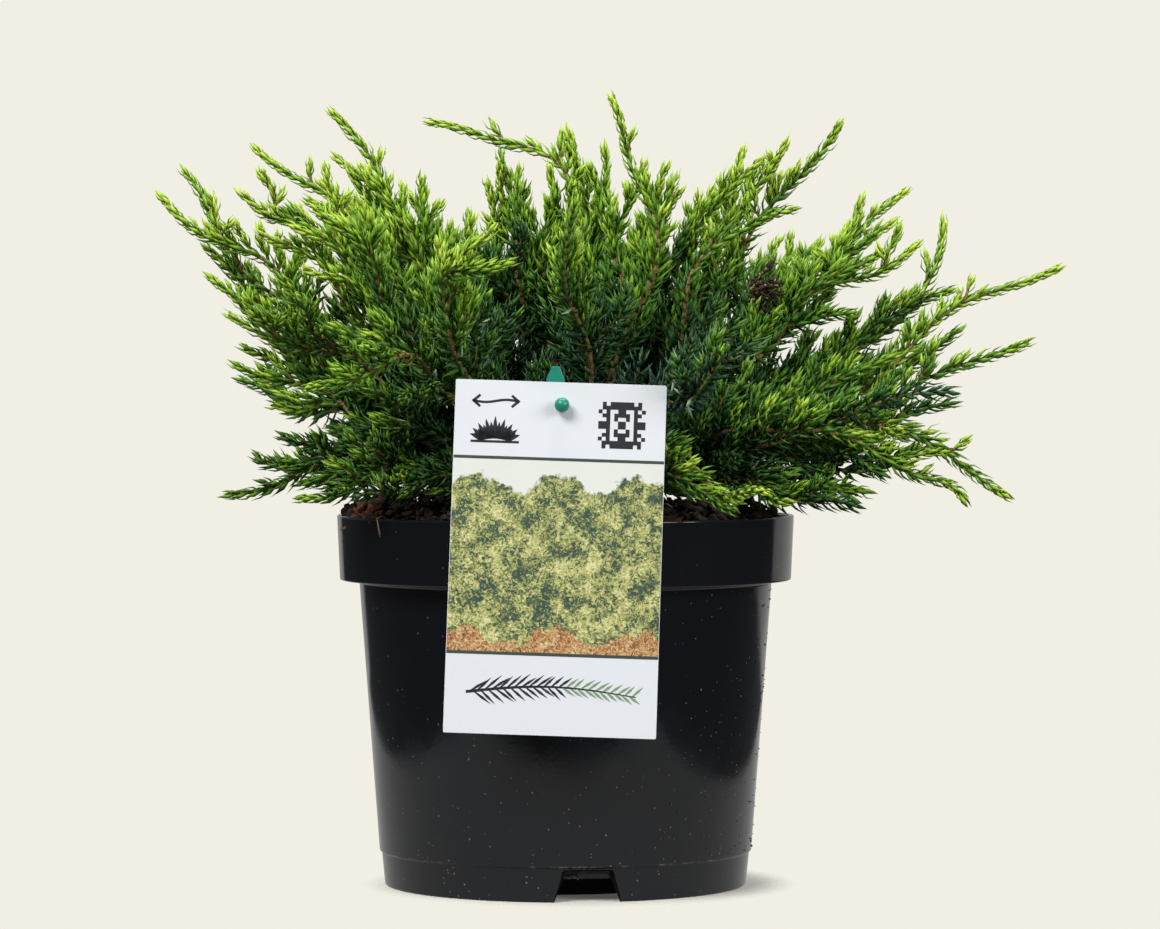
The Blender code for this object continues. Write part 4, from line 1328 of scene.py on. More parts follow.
class Segments:
    """All the straight steps of several lines, with the line each one belongs to."""

    def __init__(self, lines):
        self.names = list(lines)
        starts, steps, owners = [], [], []
        for number, line in enumerate(lines.values()):
            points = rows(line)
            starts.append(points[:-1])
            steps.append(np.diff(points, axis=0))
            owners.append(np.full(len(points) - 1, number))
        self.starts = np.concatenate(starts)
        self.steps = np.concatenate(steps)
        self.squares = (self.steps**2).sum(axis=1)
        self.owners = np.concatenate(owners)

    def distances(self, points):
        """Distance from each point to each step."""
        offsets = points[:, None] - self.starts[None]
        shares = np.clip((offsets * self.steps).sum(axis=2) / self.squares, 0, 1)
        return np.linalg.norm(offsets - shares[:, :, None] * self.steps, axis=2)


class Room:
    """The space of each mass: nearer to its own leader than to any other."""

    def __init__(self, boughs, leaders):
        self.boughs = Segments(boughs)
        self.leaders = Segments(leaders)

    def allows(self, name, points, radius):
        """Which points keep the radius inside the mass's space and off the limbs."""
        points = rows(points)
        fine = pot_clearance(points) > radius + LIMB_MARGIN
        fine &= label_clearance(points) > radius
        away = self.leaders.distances(points)
        if name is not None:
            own = self.leaders.owners == self.leaders.names.index(name)
            lead = away[:, ~own].min(axis=1) - away[:, own].min(axis=1)
            fine &= lead > 2 * (radius + SPACE_MARGIN)
        limbs = self.boughs.distances(points).min(axis=1)
        return fine & (limbs > radius + BOUGH_FOOT_RADIUS + LIMB_MARGIN)


def side_axis(along, turn):
    """The direction square to a shoot, turned about it."""
    across = along.cross(Vector((0.0, 0.0, 1.0)))
    if across.length < 1e-3:
        across = Vector((1.0, 0.0, 0.0))
    return Quaternion(along, turn) @ across.normalized()


def side_arc(root, along, turn, angle, length):
    """Centre line of one side shoot, which leaves its parent and lifts its tip."""
    out = along * math.cos(angle) + side_axis(along, turn) * math.sin(angle)
    bend = root + out * length / 2
    onward = (out + along / 2 + Vector((0, 0, SIDE_LIFT))).normalized()
    return Arc(root, bend, bend + onward * length / 2)


def roomiest(room, name, root, along, turn, angle, length, turns, step, radius):
    """The side shoot that keeps most of its length, of those turned round its parent."""
    best = (None, 0.0, 0.0)
    for i in range(turns):
        arc = side_arc(root, along, turn + math.tau * i / turns, angle, length)
        count = max(3, round(length / step) + 1)
        points = arc_points(arc, count)
        fine = room.allows(name, points, radius)
        kept = 1
        while kept < count and (fine[kept] or kept == 1):
            kept += 1
        kept_length = line_length(points[:kept])
        if kept_length > best[2]:
            best = (arc, (kept - 1) / (count - 1), kept_length)
    return best


# One shoot: its dense centre line, its order from the leader, and how long it stays bare
Shoot = namedtuple("Shoot", "line order bare")


def wandering(arc, stop, rng):
    """A shoot's line, which strays a little from its arc between its two ends."""
    length = (arc.end - arc.start).length * stop
    count = max(6, round(length / LINE_STEP) + 1)
    line = rows(arc_points(arc, count, stop))
    share = np.linspace(0, 1, count)[:, None]
    across, beside = square_frames(headings_along(line))
    stray = np.zeros_like(line)
    for side in (across, beside):
        wave = np.sin(math.tau * rng.uniform(0.7, 1.7) * share + rng.uniform(0, math.tau))
        stray += side * wave * np.sin(math.pi * share)
    return line + stray * WANDER * length


def limited(limit, spread, left):
    """How long a side shoot may be at a distance behind its parent's tip."""
    return spread * (limit[0] + limit[1] * left)


def finer_shoots(room, parent, rule, order, spread, rng):
    """Finer shoots along one shoot, by the same rule with finer sizes."""
    travelled = travel(parent)
    length = travelled[-1]
    count = int(length * (rule.last - rule.first) / rule.spacing)
    along = headings_along(parent)
    turn = rng.uniform(0, math.tau)
    shoots = []
    for i in range(count + 1):
        share = rule.first + (rule.last - rule.first) * (i + rng.uniform(0, 0.7)) / (count + 1)
        root = Vector(at(parent, travelled, [share * length])[0])
        heading = Vector(at(along, travelled, [share * length])[0]).normalized()
        turn += GOLDEN_TURN + rng.uniform(-0.4, 0.4)
        angle = rule.angle + (rule.tip_angle - rule.angle) * share + rng.normal(0, 1) * FINE_ANGLE_SPREAD
        full = (rule.longest + (rule.shortest - rule.longest) * share) * rng.uniform(0.7, 1.2)
        if order == FINE:
            full = min(full, limited(FINE_LIMIT, spread, length * (1 - share)))
        if full < FINE_LEAST_LENGTH:
            continue
        arc, stop, kept = roomiest(
            room, None, root, heading, turn, angle, full, rule.turns, FINE_TEST_STEP, FINE_RADIUS
        )
        if kept >= FINE_LEAST_LENGTH:
            shoots.append(Shoot(wandering(arc, stop, rng), order, FINE_BARE))
    return shoots


def source_side_shoots(name, leader, line, room, rng):
    """The side shoots that the source sets on a leader, by its own seeded draws."""
    draws = random.Random(name)
    leader_length = line_length(leader)
    turn = draws.uniform(0, math.tau)
    shoots = []
    for i in range(SIDE_SHOOTS):
        share = i / (SIDE_SHOOTS - 1)
        part = SIDE_FIRST + (SIDE_LAST - SIDE_FIRST) * share
        station = part * (len(leader) - 1)
        low = int(station)
        root = leader[low].lerp(leader[low + 1], station - low)
        along = (leader[low + 1] - leader[low]).normalized()
        turn += GOLDEN_TURN
        angle = SIDE_ANGLE + draws.uniform(-1, 1) * SIDE_ANGLE_SPREAD
        size = SIDE_LONGEST + (SIDE_SHORTEST - SIDE_LONGEST) * share
        length = max(leader_length * size * draws.uniform(0.85, 1.15), SIDE_LEAST_LENGTH)
        length = min(length, limited(MAIN_LIMIT, SPREAD.get(name, 1.0), leader_length * (1 - part)))
        side, stop, kept = roomiest(
            room, name, root, along, turn, angle, length, SIDE_TURNS, WHORL_PITCH, CORE_RADIUS
        )
        if kept < SIDE_LEAST_LENGTH * 0.6:
            continue
        nearest = line[np.linalg.norm(line - np.array(root), axis=1).argmin()]
        shift = Vector(nearest) - root
        moved = Arc(side.start + shift, side.bend + shift, side.end + shift)
        shoots.append(Shoot(wandering(moved, stop, rng), SIDE, SIDE_BARE))
    return shoots


@lru_cache(maxsize=1)
def skeleton():
    """Centre lines of the boughs and leaders, and the room they leave each other."""
    feet = foot_headings()
    boughs = {name: bough_arc(bough, feet[name]) for name, bough in BOUGHS.items()}
    bough_lines = {name: arc_points(arc, BOUGH_POINTS) for name, arc in boughs.items()}
    leaders = {}
    for name, leader in (MASSES | FILLS).items():
        arc = leader_arc(leader, bough_lines[leader.bough])
        leaders[name] = arc._replace(bend=Vector(BENDS.get(name, arc.bend)))
    leader_lines = {name: arc_points(arc, leader_count(arc)) for name, arc in leaders.items()}
    room = Room(bough_lines, {name: leader_lines[name] for name in MASSES})
    return boughs, leaders, leader_lines, room


def grow_mass(name):
    """All shoots of one mass: its leader, the source's side shoots and the finer ones."""
    _, leaders, leader_lines, room = skeleton()
    rng = np.random.default_rng(zlib.crc32(name.encode()))
    line = wandering(leaders[name], 1.0, rng)
    shoots = [Shoot(line, LEADER, LEADER_BARE)]
    spread = SPREAD.get(name, 1.0)
    sides = [] if name in FILLS else source_side_shoots(name, leader_lines[name], line, room, rng)
    shoots += sides
    shoots += finer_shoots(room, line, ON_LEADER, FINE, spread, rng)
    for side in sides:
        shoots += finer_shoots(room, side.line, ON_SIDE, FINE, 1.0, rng)
    return shoots


def grow_bough(name):
    """Short leafy shoots on the outer part of a bough."""
    boughs, _, _, room = skeleton()
    rng = np.random.default_rng(zlib.crc32(f"{name}_shoots".encode()))
    return finer_shoots(room, rows(arc_points(boughs[name], 24)), ON_BOUGH, ON_WOOD, 1.0, rng)


def grow_dead_tuft():
    """Short curled shoots of the dead tuft, in all directions from its middle."""
    rng = np.random.default_rng(5)
    shoots = []
    for _ in range(DEAD_SHOOTS):
        out = Vector(unit(rng.normal(0, 1, 3)))
        start = Vector(DEAD_CENTRE + rng.normal(0, 1, 3) * DEAD_REACH) - out * DEAD_LENGTH * 0.3
        bend = start + out * DEAD_LENGTH * 0.6
        end = bend + Vector(unit(rng.normal(0, 1, 3) + 1.2 * np.array(out))) * DEAD_LENGTH * 0.6
        shoots.append(Shoot(wandering(Arc(start, bend, end), 1.0, rng), DEAD, 0.0))
    return shoots


def lit_share(points):
    """How well lit the crown is at each point, from 0 low inside it to 1 at its upper skin, which sets the
    painted light and shade of the needles' tints.
    """
    depth = np.linalg.norm((points - CROWN_CENTRE) / CROWN_RADII, axis=-1)
    rise = (points[..., 2] - CROWN_FOOT) / CROWN_RISE
    inside = np.linalg.norm((points - HOLLOW_CENTRE) / HOLLOW_RADII, axis=-1)
    return np.clip(0.55 * rise + 0.66 * (depth - 0.42) - HOLLOW_SHADE * np.exp(-inside**2), 0, 1)


@lru_cache(maxsize=1)
def whorl_places():
    """Distances of the whorls from a shoot's tip: close together there, wider further back."""
    pitch = settings("plant").whorl_pitch
    places = [YOUNG_LENGTH * 0.85]
    while places[-1] < 0.25:
        young = math.exp(-places[-1] / PITCH_RUN)
        places.append(places[-1] + pitch + (YOUNG_PITCH - pitch) * young)
    return np.array(places)


def set_needles(shoot, painted_light, rng):
    """Needles of one shoot, in whorls of three: bases, frames, sizes, bows, and tints with painted light
    and shade.
    """
    full = settings("plant").needle_length
    travelled = travel(shoot.line)
    total = travelled[-1]
    left = whorl_places()
    left = left[left < total - shoot.bare]
    count = len(left)
    if count == 0:
        return None
    centres = at(shoot.line, travelled, total - left)
    along = unit(at(headings_along(shoot.line), travelled, total - left))
    across, beside = square_frames(along)
    turns = rng.uniform(0, math.tau) + np.arange(count)[:, None] * math.pi / 3
    turns = turns + np.array((0, 1, 2)) * math.tau / 3 + rng.normal(0, 0.16, (count, 3))
    out = np.cos(turns)[..., None] * across[:, None] + np.sin(turns)[..., None] * beside[:, None]
    # The lit share, with the mass's painted light and a random tone, sets the painted light and shade of
    # the tints and the lean and length of the needles
    lit = 0.5 * lit_share(shoot.line[-1]) + 0.5 * lit_share(centres) + painted_light + rng.normal(0, SPRAY_SPREAD)
    lit = np.clip(lit, 0, 1.1)
    run = SHADE_LEAN_RUN * (LIT_LEAN_RUN / SHADE_LEAN_RUN) ** lit
    grown = 1 - np.exp(-left / (run * (LEADER_LEAN_SHARE if shoot.order == LEADER else 1.0)))
    lean = YOUNG_LEAN + (OLD_LEAN - YOUNG_LEAN) * grown[:, None]
    lean = lean + rng.normal(0, 1, (count, 3)) * LEAN_SPREAD * (0.2 + grown[:, None])
    longest = full * (1.14 - 0.26 * lit)
    lengths = (YOUNG_LENGTH + (longest - YOUNG_LENGTH) * (1 - np.exp(-left / LENGTH_RUN)))[:, None]
    lengths = lengths * rng.uniform(0.84, 1.14, (count, 3))
    bows = YOUNG_BOW + (OLD_BOW - YOUNG_BOW) * grown[:, None] + rng.normal(0, 0.02, (count, 3))
    ahead = along[:, None]
    direction = ahead * np.cos(lean)[..., None] + out * np.sin(lean)[..., None]
    upper = ahead * np.sin(lean)[..., None] - out * np.cos(lean)[..., None]
    bases = centres[:, None] + out * 0.0003
    # The tint paints light and shade by the lit share, and is paler near the tip
    score = PAINTED_LIGHT_SHARE * lit + TIP_SHARE * np.exp(-left / TIP_RUN) * (0.25 + 0.75 * lit)
    score = score[:, None] + rng.normal(0, 0.03, (count, 3))
    tint = np.clip((score * TINT_STEPS).astype(int), 0, TINT_STEPS - 1)
    banded = (rng.uniform(0, 1, (count, 3)) < BAND_SHARE) & (left[:, None] > BAND_FROM)
    if shoot.order == DEAD:
        lengths = lengths * DEAD_NEEDLE_SHARE
        tint[:] = TINT_STEPS + 1
        banded[:] = False
    flat_tips = (bases + direction * lengths[..., None]).reshape(-1, 3)
    kept = (pot_clearance(flat_tips) > GAP) & (label_clearance(flat_tips) > -CARD_CLEARANCE / 2)
    arrays = (bases, direction, upper, lengths, bows, tint, banded)
    return [array.reshape(-1, *array.shape[2:])[kept] for array in arrays]


def needle_mesh(name, needles, palette):
    """One mesh of many needles, each a keeled blade of seven corners with a sharp tip."""
    plant = settings("plant")
    gathered = [np.concatenate(parts) for parts in zip(*needles)]
    bases, direction, upper, lengths, bows, tint, banded = gathered
    sideways = np.cross(direction, upper)
    size = lengths[:, None]
    grown = np.clip(size / plant.needle_length, 0.86, 1.05)
    width = plant.needle_width * grown
    depth = plant.needle_thickness * grown
    middle = bases + direction * size * MIDDLE_SHARE - upper * size * bows[:, None]
    corners = np.stack([
        bases + sideways * width * 0.36,
        bases - sideways * width * 0.36,
        bases - upper * depth * 0.8,
        middle + sideways * width * 0.5,
        middle - sideways * width * 0.5,
        middle - upper * depth,
        bases + direction * size,
    ], axis=1)
    count = len(bases)
    start = (np.arange(count) * 7)[:, None]
    face = np.where(banded, TINT_STEPS, tint)
    groups = [
        (start + np.array((1, 0, 3, 4)), face),
        (start + np.array((0, 2, 5, 3)), tint),
        (start + np.array((2, 1, 4, 5)), tint),
        (start + np.array((4, 3, 6)), face),
        (start + np.array((3, 5, 6)), tint),
        (start + np.array((5, 4, 6)), tint),
        (start + np.array((0, 1, 2)), tint),
    ]
    return mesh_from_arrays(name, corners.reshape(-1, 3), groups, palette)


# Wood of a shoot by its order: radius at its foot and tip, sides, and how much is in old bark
Wood = namedtuple("Wood", "foot tip sides old")
WOOD = (
    Wood(0.00105, 0.0005, 6, 0.62),
    Wood(0.0008, 0.0004, 5, 0.45),
    Wood(0.0005, 0.0003, 4, 0.0),
    Wood(0.0006, 0.0003, 4, 0.0),
    Wood(0.0007, 0.0004, 4, 0.0),
)
WOOD_STEP = 0.004
WOOD_END = 0.002
OLD_BARK, GREEN_BARK = 0, 1


def twig_batch(shoots):
    """The wood of all shoots as tapering tubes: old bark at the foot of the larger ones, else green."""
    batch = Batch()
    for shoot in shoots:
        wood = WOOD[shoot.order]
        travelled = travel(shoot.line)
        count = max(3, round(travelled[-1] / WOOD_STEP) + 1)
        line = at(shoot.line, travelled, np.linspace(0, travelled[-1] - WOOD_END, count))
        share = np.repeat(np.arange(count - 1) / (count - 1), wood.sides)
        barks = np.where(share < wood.old, OLD_BARK, GREEN_BARK)
        ends = OLD_BARK if wood.old else GREEN_BARK
        batch.add(*tube(line, np.linspace(wood.foot, wood.tip, count), wood.sides), (barks, ends))
    return batch


def bark_ridges(count, sides, step, rng, depth):
    """Relief of scaly bark on a tube: long uneven ridges round it, broken along it."""
    turns = np.linspace(0, math.tau, sides, endpoint=False)[None, :]
    along = (np.arange(count) * step)[:, None]
    relief = np.zeros((count, sides))
    for waves in (3, 5, 8, 11):
        twist = rng.uniform(-60, 60)
        stretch = rng.uniform(120, 420)
        phase = rng.uniform(0, math.tau, 2)
        ridge = np.sin(waves * turns + twist * along + phase[0])
        relief += ridge * np.sin(stretch * along + phase[1]) / waves**0.5
    return 1 + depth * relief


def limb_mesh(name, arc, material):
    """A bough with bark relief, its foot sunk into the stem's side."""
    rng = np.random.default_rng(zlib.crc32(name.encode()))
    dense = rows(arc_points(arc, 40))
    leaving = unit(dense[1] - dense[0])
    line = np.concatenate([[dense[0] - leaving * 0.0022], dense])
    travelled = travel(line)
    step = 0.0008
    count = round(travelled[-1] / step) + 1
    sides = 18
    stations = np.linspace(0, travelled[-1], count)
    radii = np.array([bough_radius(share) for share in stations / travelled[-1]])
    collar = 0.0008 * np.exp(-stations / 0.003)
    radii = (radii + collar)[:, None] * bark_ridges(count, sides, step, rng, 0.06)
    return Batch().add(*tube(at(line, travelled, stations), radii, sides)).mesh(name, [material])


def stem_mesh(material):
    """The stem, flared at the soil and rounded at its crown, with ridged bark."""
    rng = np.random.default_rng(zlib.crc32(b"stem"))
    sides, count = 72, 60
    heights = np.linspace(-0.002, STEM_HEIGHT, count)
    radii = np.array([stem_radius(max(height, 0.0)) for height in heights])
    crown = np.clip((STEM_HEIGHT - heights) / (STEM_TOP_RADIUS * 0.6), 0.02, 1)
    radii = radii * np.sqrt(1 - (1 - crown) ** 2 * 0.98)
    line = np.stack([np.zeros(count), np.zeros(count), STEM_FOOT_HEIGHT + heights], axis=1)
    relief = bark_ridges(count, sides, heights[1] - heights[0], rng, 0.035)
    return Batch().add(*tube(line, radii[:, None] * relief, sides)).mesh("stem_bark", [material])


def card_frame():
    """Placing of the label card: leaning back, and turned a little in its plane."""
    lean = Matrix.Rotation(-CARD_LEAN, 4, "X")
    turn = Matrix.Rotation(CARD_TURN, 4, "Y")
    return Matrix.Translation(CARD_CENTRE) @ lean @ turn @ UPRIGHT


def circle(x, y, radius, steps):
    """Points round a circle."""
    angles = [math.tau * i / steps for i in range(steps)]
    return [(x + radius * math.cos(angle), y + radius * math.sin(angle)) for angle in angles]


def ink_material(name, colour):
    """Offset ink, printed on plastic: a thin satin film."""
    return smooth_plastic(f"ink_{name}_printed", colour, 0.38, 0.46, 0.6)


def picture_material():
    """Four-colour print of a plain clipped-hedge pattern: speckled foliage under a pale top."""
    label = settings("label")
    dark, middle, light = label.print_dark, label.print_middle, label.print_light
    material, tree, shader, place = new_material("ink_foliage_pattern_printed", middle, 0.36, IOR=1.5)
    roughen(tree, shader, place, per(2), 0.32, 0.4)
    parts = add_node(tree, "SeparateXYZ", {"Vector": place})
    # Curls of foliage about 1.2 mm wide in three greens, shaded in soft clouds of about 9 mm
    curl = {"Vector": place, "Scale": per(1.5), "Detail": 4.0, "Roughness": 0.62, "Distortion": 1.6}
    curls = add_node(tree, "TexNoise", curl)
    clouds = add_node(tree, "TexNoise", {"Vector": place, "Scale": per(9), "Detail": 5.0, "Roughness": 0.6})
    shaded = add_node(tree, "Math", {0: clouds["Fac"], 1: 0.95, 2: -0.475}, operation="MULTIPLY_ADD")
    tone = add_node(tree, "Math", {0: curls["Fac"], 1: 1.15, 2: shaded["Value"]}, operation="MULTIPLY_ADD")
    green = ((0.48, dark), (0.8, light), (0.61, middle))
    greens = add_node(tree, "ValToRGB", {"Fac": tone["Value"]}, green)
    brown = ((0.36, dark), (0.7, light), (0.46, label.print_earth))
    earth = add_node(tree, "ValToRGB", {"Fac": curls["Fac"]}, brown)
    # The hedge's top line rises and falls in even humps across the card
    hump = add_node(tree, "Math", {0: parts["X"], 1: math.tau / (CARD_WIDTH / 2.5)}, operation="MULTIPLY")
    wave = add_node(tree, "Math", {0: hump["Value"]}, operation="COSINE")
    ragged = add_node(tree, "Math", {0: clouds["Fac"], 1: 0.018, 2: parts["Y"]}, operation="MULTIPLY_ADD")
    humped = {0: wave["Value"], 1: -0.003, 2: ragged["Value"]}
    edge = add_node(tree, "Math", humped, operation="MULTIPLY_ADD")
    above = add_node(tree, "MapRange", {"Value": edge["Value"], "From Min": 0.035, "From Max": 0.0362})
    below = add_node(tree, "MapRange", {"Value": edge["Value"], "From Min": -0.0185, "From Max": -0.02})
    sky = {MIX_FACTOR: above["Result"], MIX_A: greens["Color"], MIX_B: (*label.print_sky, 1.0)}
    topped = add_node(tree, "Mix", sky, data_type="RGBA")
    foot = {MIX_FACTOR: below["Result"], MIX_A: topped[MIX_COLOUR], MIX_B: earth["Color"]}
    footed = add_node(tree, "Mix", foot, data_type="RGBA")
    tree.links.new(footed[MIX_COLOUR], shader.inputs["Base Color"])
    return material


def stroke(batch, points, widths, height, number=0):
    """A flat inked stroke along points in the card's plane."""
    points = np.array(points, float)
    along = unit(np.gradient(points, axis=0))
    across = np.stack([-along[:, 1], along[:, 0]], axis=1) * np.asarray(widths).reshape(-1, 1) / 2
    left, right = points + across, points - across
    vertices = np.zeros((2 * len(points), 3))
    vertices[0::2, :2] = left
    vertices[1::2, :2] = right
    vertices[:, 2] = height
    low = np.arange(len(points) - 1)[:, None] * 2
    batch.add(vertices, low + np.array((0, 1, 3, 2)), number)


def panel(batch, low, high, height, number=0):
    """A flat inked rectangle in the card's plane."""
    corners = np.array([(low[0], low[1]), (high[0], low[1]), (high[0], high[1]), (low[0], high[1])])
    batch.add(np.column_stack([corners, np.full(4, height)]), np.array([[0, 1, 2, 3]]), number)


def print_pictogram(batch, height):
    """A width arrow above the plain outline of a low mound on its ground line."""
    left, right, arrow = -0.031, -0.015, 0.0556
    xs = np.linspace(left + 0.0006, right - 0.0006, 25)
    ys = arrow - 0.0005 * np.sin(math.tau * (xs - left) / (right - left))
    stroke(batch, np.stack([xs, ys], axis=1), np.full(25, 0.0009), height)
    for end, inward in ((left, 1), (right, -1)):
        for side in (1, -1):
            barb = (end + inward * 0.0024, arrow + side * 0.0021)
            stroke(batch, [(end - inward * 0.0003, arrow - side * 0.0003), barb], [0.0011, 0.0009], height)
    middle = (left + right) / 2
    ground = 0.041
    stroke(batch, [(left - 0.0006, ground), (right + 0.0006, ground)], [0.0009, 0.0009], height)
    tufts = 17
    for i in range(tufts):
        lean = math.radians(-80 + 160 * i / (tufts - 1))
        reach = 0.006 - 0.0014 * abs(math.sin(lean)) - 0.0013 * (i % 2)
        foot = (middle + 0.0044 * math.sin(lean), ground + 0.001)
        tip = (foot[0] + reach * math.sin(lean), foot[1] + reach * 1.25 * math.cos(lean) + 0.0006)
        steps = np.linspace(0, 1, 5)
        line = [(foot[0] + (tip[0] - foot[0]) * t, foot[1] + (tip[1] - foot[1]) * t) for t in steps]
        stroke(batch, line, np.array((2.4, 2.2, 1.7, 1.1, 0.1)) * 0.001, height)


def print_ornament(batch, height):
    """A square ornament of small cells, mirrored about both of its middle lines."""
    draws = random.Random("square_ornament")
    cells, size, centre = 12, 0.0168, (0.022, 0.0482)
    pitch = size / cells
    for row in range(cells // 2):
        for column in range(cells // 2):
            if draws.random() < 0.5:
                continue
            for flip_x in (column, cells - 1 - column):
                for flip_y in (row, cells - 1 - row):
                    x = centre[0] - size / 2 + flip_x * pitch
                    y = centre[1] - size / 2 + flip_y * pitch
                    panel(batch, (x, y), (x + pitch, y + pitch), height)


def print_sprig(batch, height):
    """A plain sprig in two inks where the card has room below the picture."""
    draws = random.Random("sprig")
    half, level, needles = 0.03, -0.0484, 46

    def on_stem(t):
        return np.array((half * (2 * t - 1), level + 0.0026 * math.sin(3.2 * t)))

    stroke(batch, [on_stem(t) for t in np.linspace(0, 1, 24)], np.linspace(0.0011, 0.0004, 24), height)
    for i in range(1, needles):
        t = i / needles
        lean = math.radians(38 + draws.uniform(-6, 6)) * (1 if i % 2 else -1)
        reach = 0.0082 * (1 - 0.45 * t) * draws.uniform(0.85, 1.1)
        foot = on_stem(t)
        tip = foot + reach * np.array((math.cos(lean), math.sin(lean)))
        stroke(batch, [foot, (foot + tip) / 2, tip], (0.0004, 0.001, 0.0001), height, 0 if t < 0.55 else 3)


def make_card():
    """The label card with its hole, and the ink on its front."""
    corners = []
    for side, end in ((1, 1), (-1, 1), (-1, -1), (1, -1)):
        corners.append((side * CARD_WIDTH / 2, end * CARD_HEIGHT / 2, CARD_CORNER))
    outlines = [rounded(corners, 6), circle(CARD_HOLE.x, CARD_HOLE.y, CARD_HOLE_RADIUS, 40)]
    mesh = weld(take_mesh(plate("card", outlines, CARD_THICKNESS, 0.00008)))
    mesh.transform(card_frame())
    label = settings("label")
    white = smooth_plastic("card_white_calendered", label.card, 0.34, 0.42, 3.0)
    add_piece("label_card_sheet", finished(mesh, white), "label_card", "label_card")

    front = CARD_THICKNESS / 2
    batch = Batch()
    top, foot = 0.0353, -0.0344
    side = CARD_WIDTH / 2 - 0.0001
    panel(batch, (-side, foot), (side, top), front + INK, 1)
    for line in (top, foot):
        panel(batch, (-side, line - 0.00055), (side, line + 0.00055), front + 1.6 * INK, 2)
    print_pictogram(batch, front + INK)
    print_ornament(batch, front + INK)
    print_sprig(batch, front + INK)
    inks = [
        ink_material("dark", label.ink),
        picture_material(),
        ink_material("line", label.line),
        ink_material("leaf", label.leaf),
    ]
    ink = batch.mesh("label_print", inks, smooth=False)
    add_piece("label_print", ink, "label_card", "label_card", matrix=card_frame())


def make_holder():
    """The label's stake with its wedge head, joined to the smooth ball-ended peg."""
    half, tip = STAKE_WIDTH / 2, STAKE_TIP_WIDTH / 2
    outline = rounded([
        (-half, STAKE_HEAD_HEIGHT, 0.0008),
        (-half, STAKE_FOOT_HEIGHT + STAKE_POINT, 0.0008),
        (0.0, STAKE_FOOT_HEIGHT, 0.0003),
        (half, STAKE_FOOT_HEIGHT + STAKE_POINT, 0.0008),
        (half, STAKE_HEAD_HEIGHT, 0.0008),
        (tip, STAKE_TOP_HEIGHT, 0.0004),
        (-tip, STAKE_TOP_HEIGHT, 0.0004),
    ])
    stake = plate("stake", [outline], STAKE_THICKNESS, 0.0003)
    stake.matrix_world = Matrix.Translation((CARD_CENTRE.x, STAKE_CENTRE_Y, 0.0)) @ UPRIGHT
    holder = temporary("holder", weld(take_mesh(stake)))
    hole = card_frame() @ CARD_HOLE
    peg_length = STAKE_CENTRE_Y - hole.y + CARD_THICKNESS / 2 + 2 * GAP + BALL_RADIUS
    neck = math.acos(PEG_RADIUS / BALL_RADIUS)
    rings = 20
    profile = [(0.0, peg_length + BALL_RADIUS)]
    for step in range(1, rings + 1):
        angle = QUARTER - (QUARTER + neck) * step / rings
        profile.append((BALL_RADIUS * math.cos(angle), peg_length + BALL_RADIUS * math.sin(angle)))
    profile += [(PEG_RADIUS, 0.0), (0.0, 0.0)]
    peg = turned("peg", profile, 40)
    peg.matrix_world = Matrix.Translation((hole.x, STAKE_CENTRE_Y, hole.z)) @ UPRIGHT
    peg = temporary("peg_mesh", take_mesh(peg))
    combine(holder, peg, "UNION")
    mesh = take_mesh(holder)
    bpy.data.objects.remove(peg, do_unlink=True)
    teal = smooth_plastic("polystyrene_teal_moulded", settings("label").holder, 0.26, 0.36, 1.2)
    mesh = finished(mesh, teal, math.radians(40))
    add_piece("label_holder_moulded", mesh, "label_holder", "label_holder")


def soft_box(name, power, size, position, target):
    """A large area light aimed at a target."""
    light = bpy.data.lights.new(name, "AREA")
    light.shape = "RECTANGLE"
    light.size, light.size_y = size
    light.energy = power
    lamp = temporary(name, light)
    lamp.location = position
    direction = Vector(target) - Vector(position)
    lamp.rotation_euler = direction.to_track_quat("-Z", "Y").to_euler()


def glowing(name, colour, strength):
    """A plain stage material that gives its own even light."""
    return new_material(name, (0, 0, 0), 1.0, Emission_Color=(*colour, 1.0), Emission_Strength=strength)[0]


def only_seen_by(stage_object, camera=False, glossy=False):
    """Let only some rays see a stage object."""
    stage_object.visible_camera = camera
    stage_object.visible_glossy = glossy
    stage_object.visible_diffuse = False
    stage_object.visible_transmission = camera
    stage_object.visible_volume_scatter = False
    stage_object.visible_shadow = False


def stage_sheet(name, outline, material, matrix=Matrix.Identity(4)):
    """A flat sheet of the stage."""
    mesh = bpy.data.meshes.new(name)
    mesh.from_pydata([(x, y, 0.0) for x, y in outline], [], [list(range(len(outline)))])
    mesh.materials.append(material)
    sheet = temporary(name, mesh)
    sheet.matrix_world = matrix
    return sheet


def make_backdrop():
    """A plain even dome round everything, which only the camera sees."""
    shape = bmesh.new()
    bmesh.ops.create_icosphere(shape, subdivisions=4, radius=9.0)
    mesh = bpy.data.meshes.new("backdrop")
    shape.to_mesh(mesh)
    shape.free()
    mesh.materials.append(glowing("paper_pale_even", settings("stage").backdrop, 1.0))
    dome = temporary("backdrop", mesh)
    only_seen_by(dome, camera=True)


def make_floor():
    """The plain pale floor, which fades into the backdrop away from the pot."""
    material, tree, shader, place = new_material("floor_pale_matt", settings("stage").floor, 0.9)
    shader.inputs["Specular IOR Level"].default_value = 0.1
    # The contact shadow is thin, and a little stronger on the right
    aside = add_node(tree, "VectorMath", {0: place, 1: (0.005, -0.002, 0.0)}, operation="SUBTRACT")
    length = add_node(tree, "VectorMath", {0: aside["Vector"]}, operation="LENGTH")
    span = {"Value": length["Value"], "From Min": 0.065, "From Max": 0.083, "To Min": 0.92, "To Max": 0.0}
    fade = add_node(tree, "MapRange", span, interpolation_type="SMOOTHSTEP")
    tree.links.new(fade["Result"], shader.inputs["Alpha"])
    grain = add_node(tree, "TexNoise", {"Vector": place, "Scale": per(3)})
    raise_bumps(tree, shader, grain["Fac"], 0.00003)
    floor = stage_sheet("floor", circle(0, 0, 0.52, 96), material)
    floor.visible_glossy = False


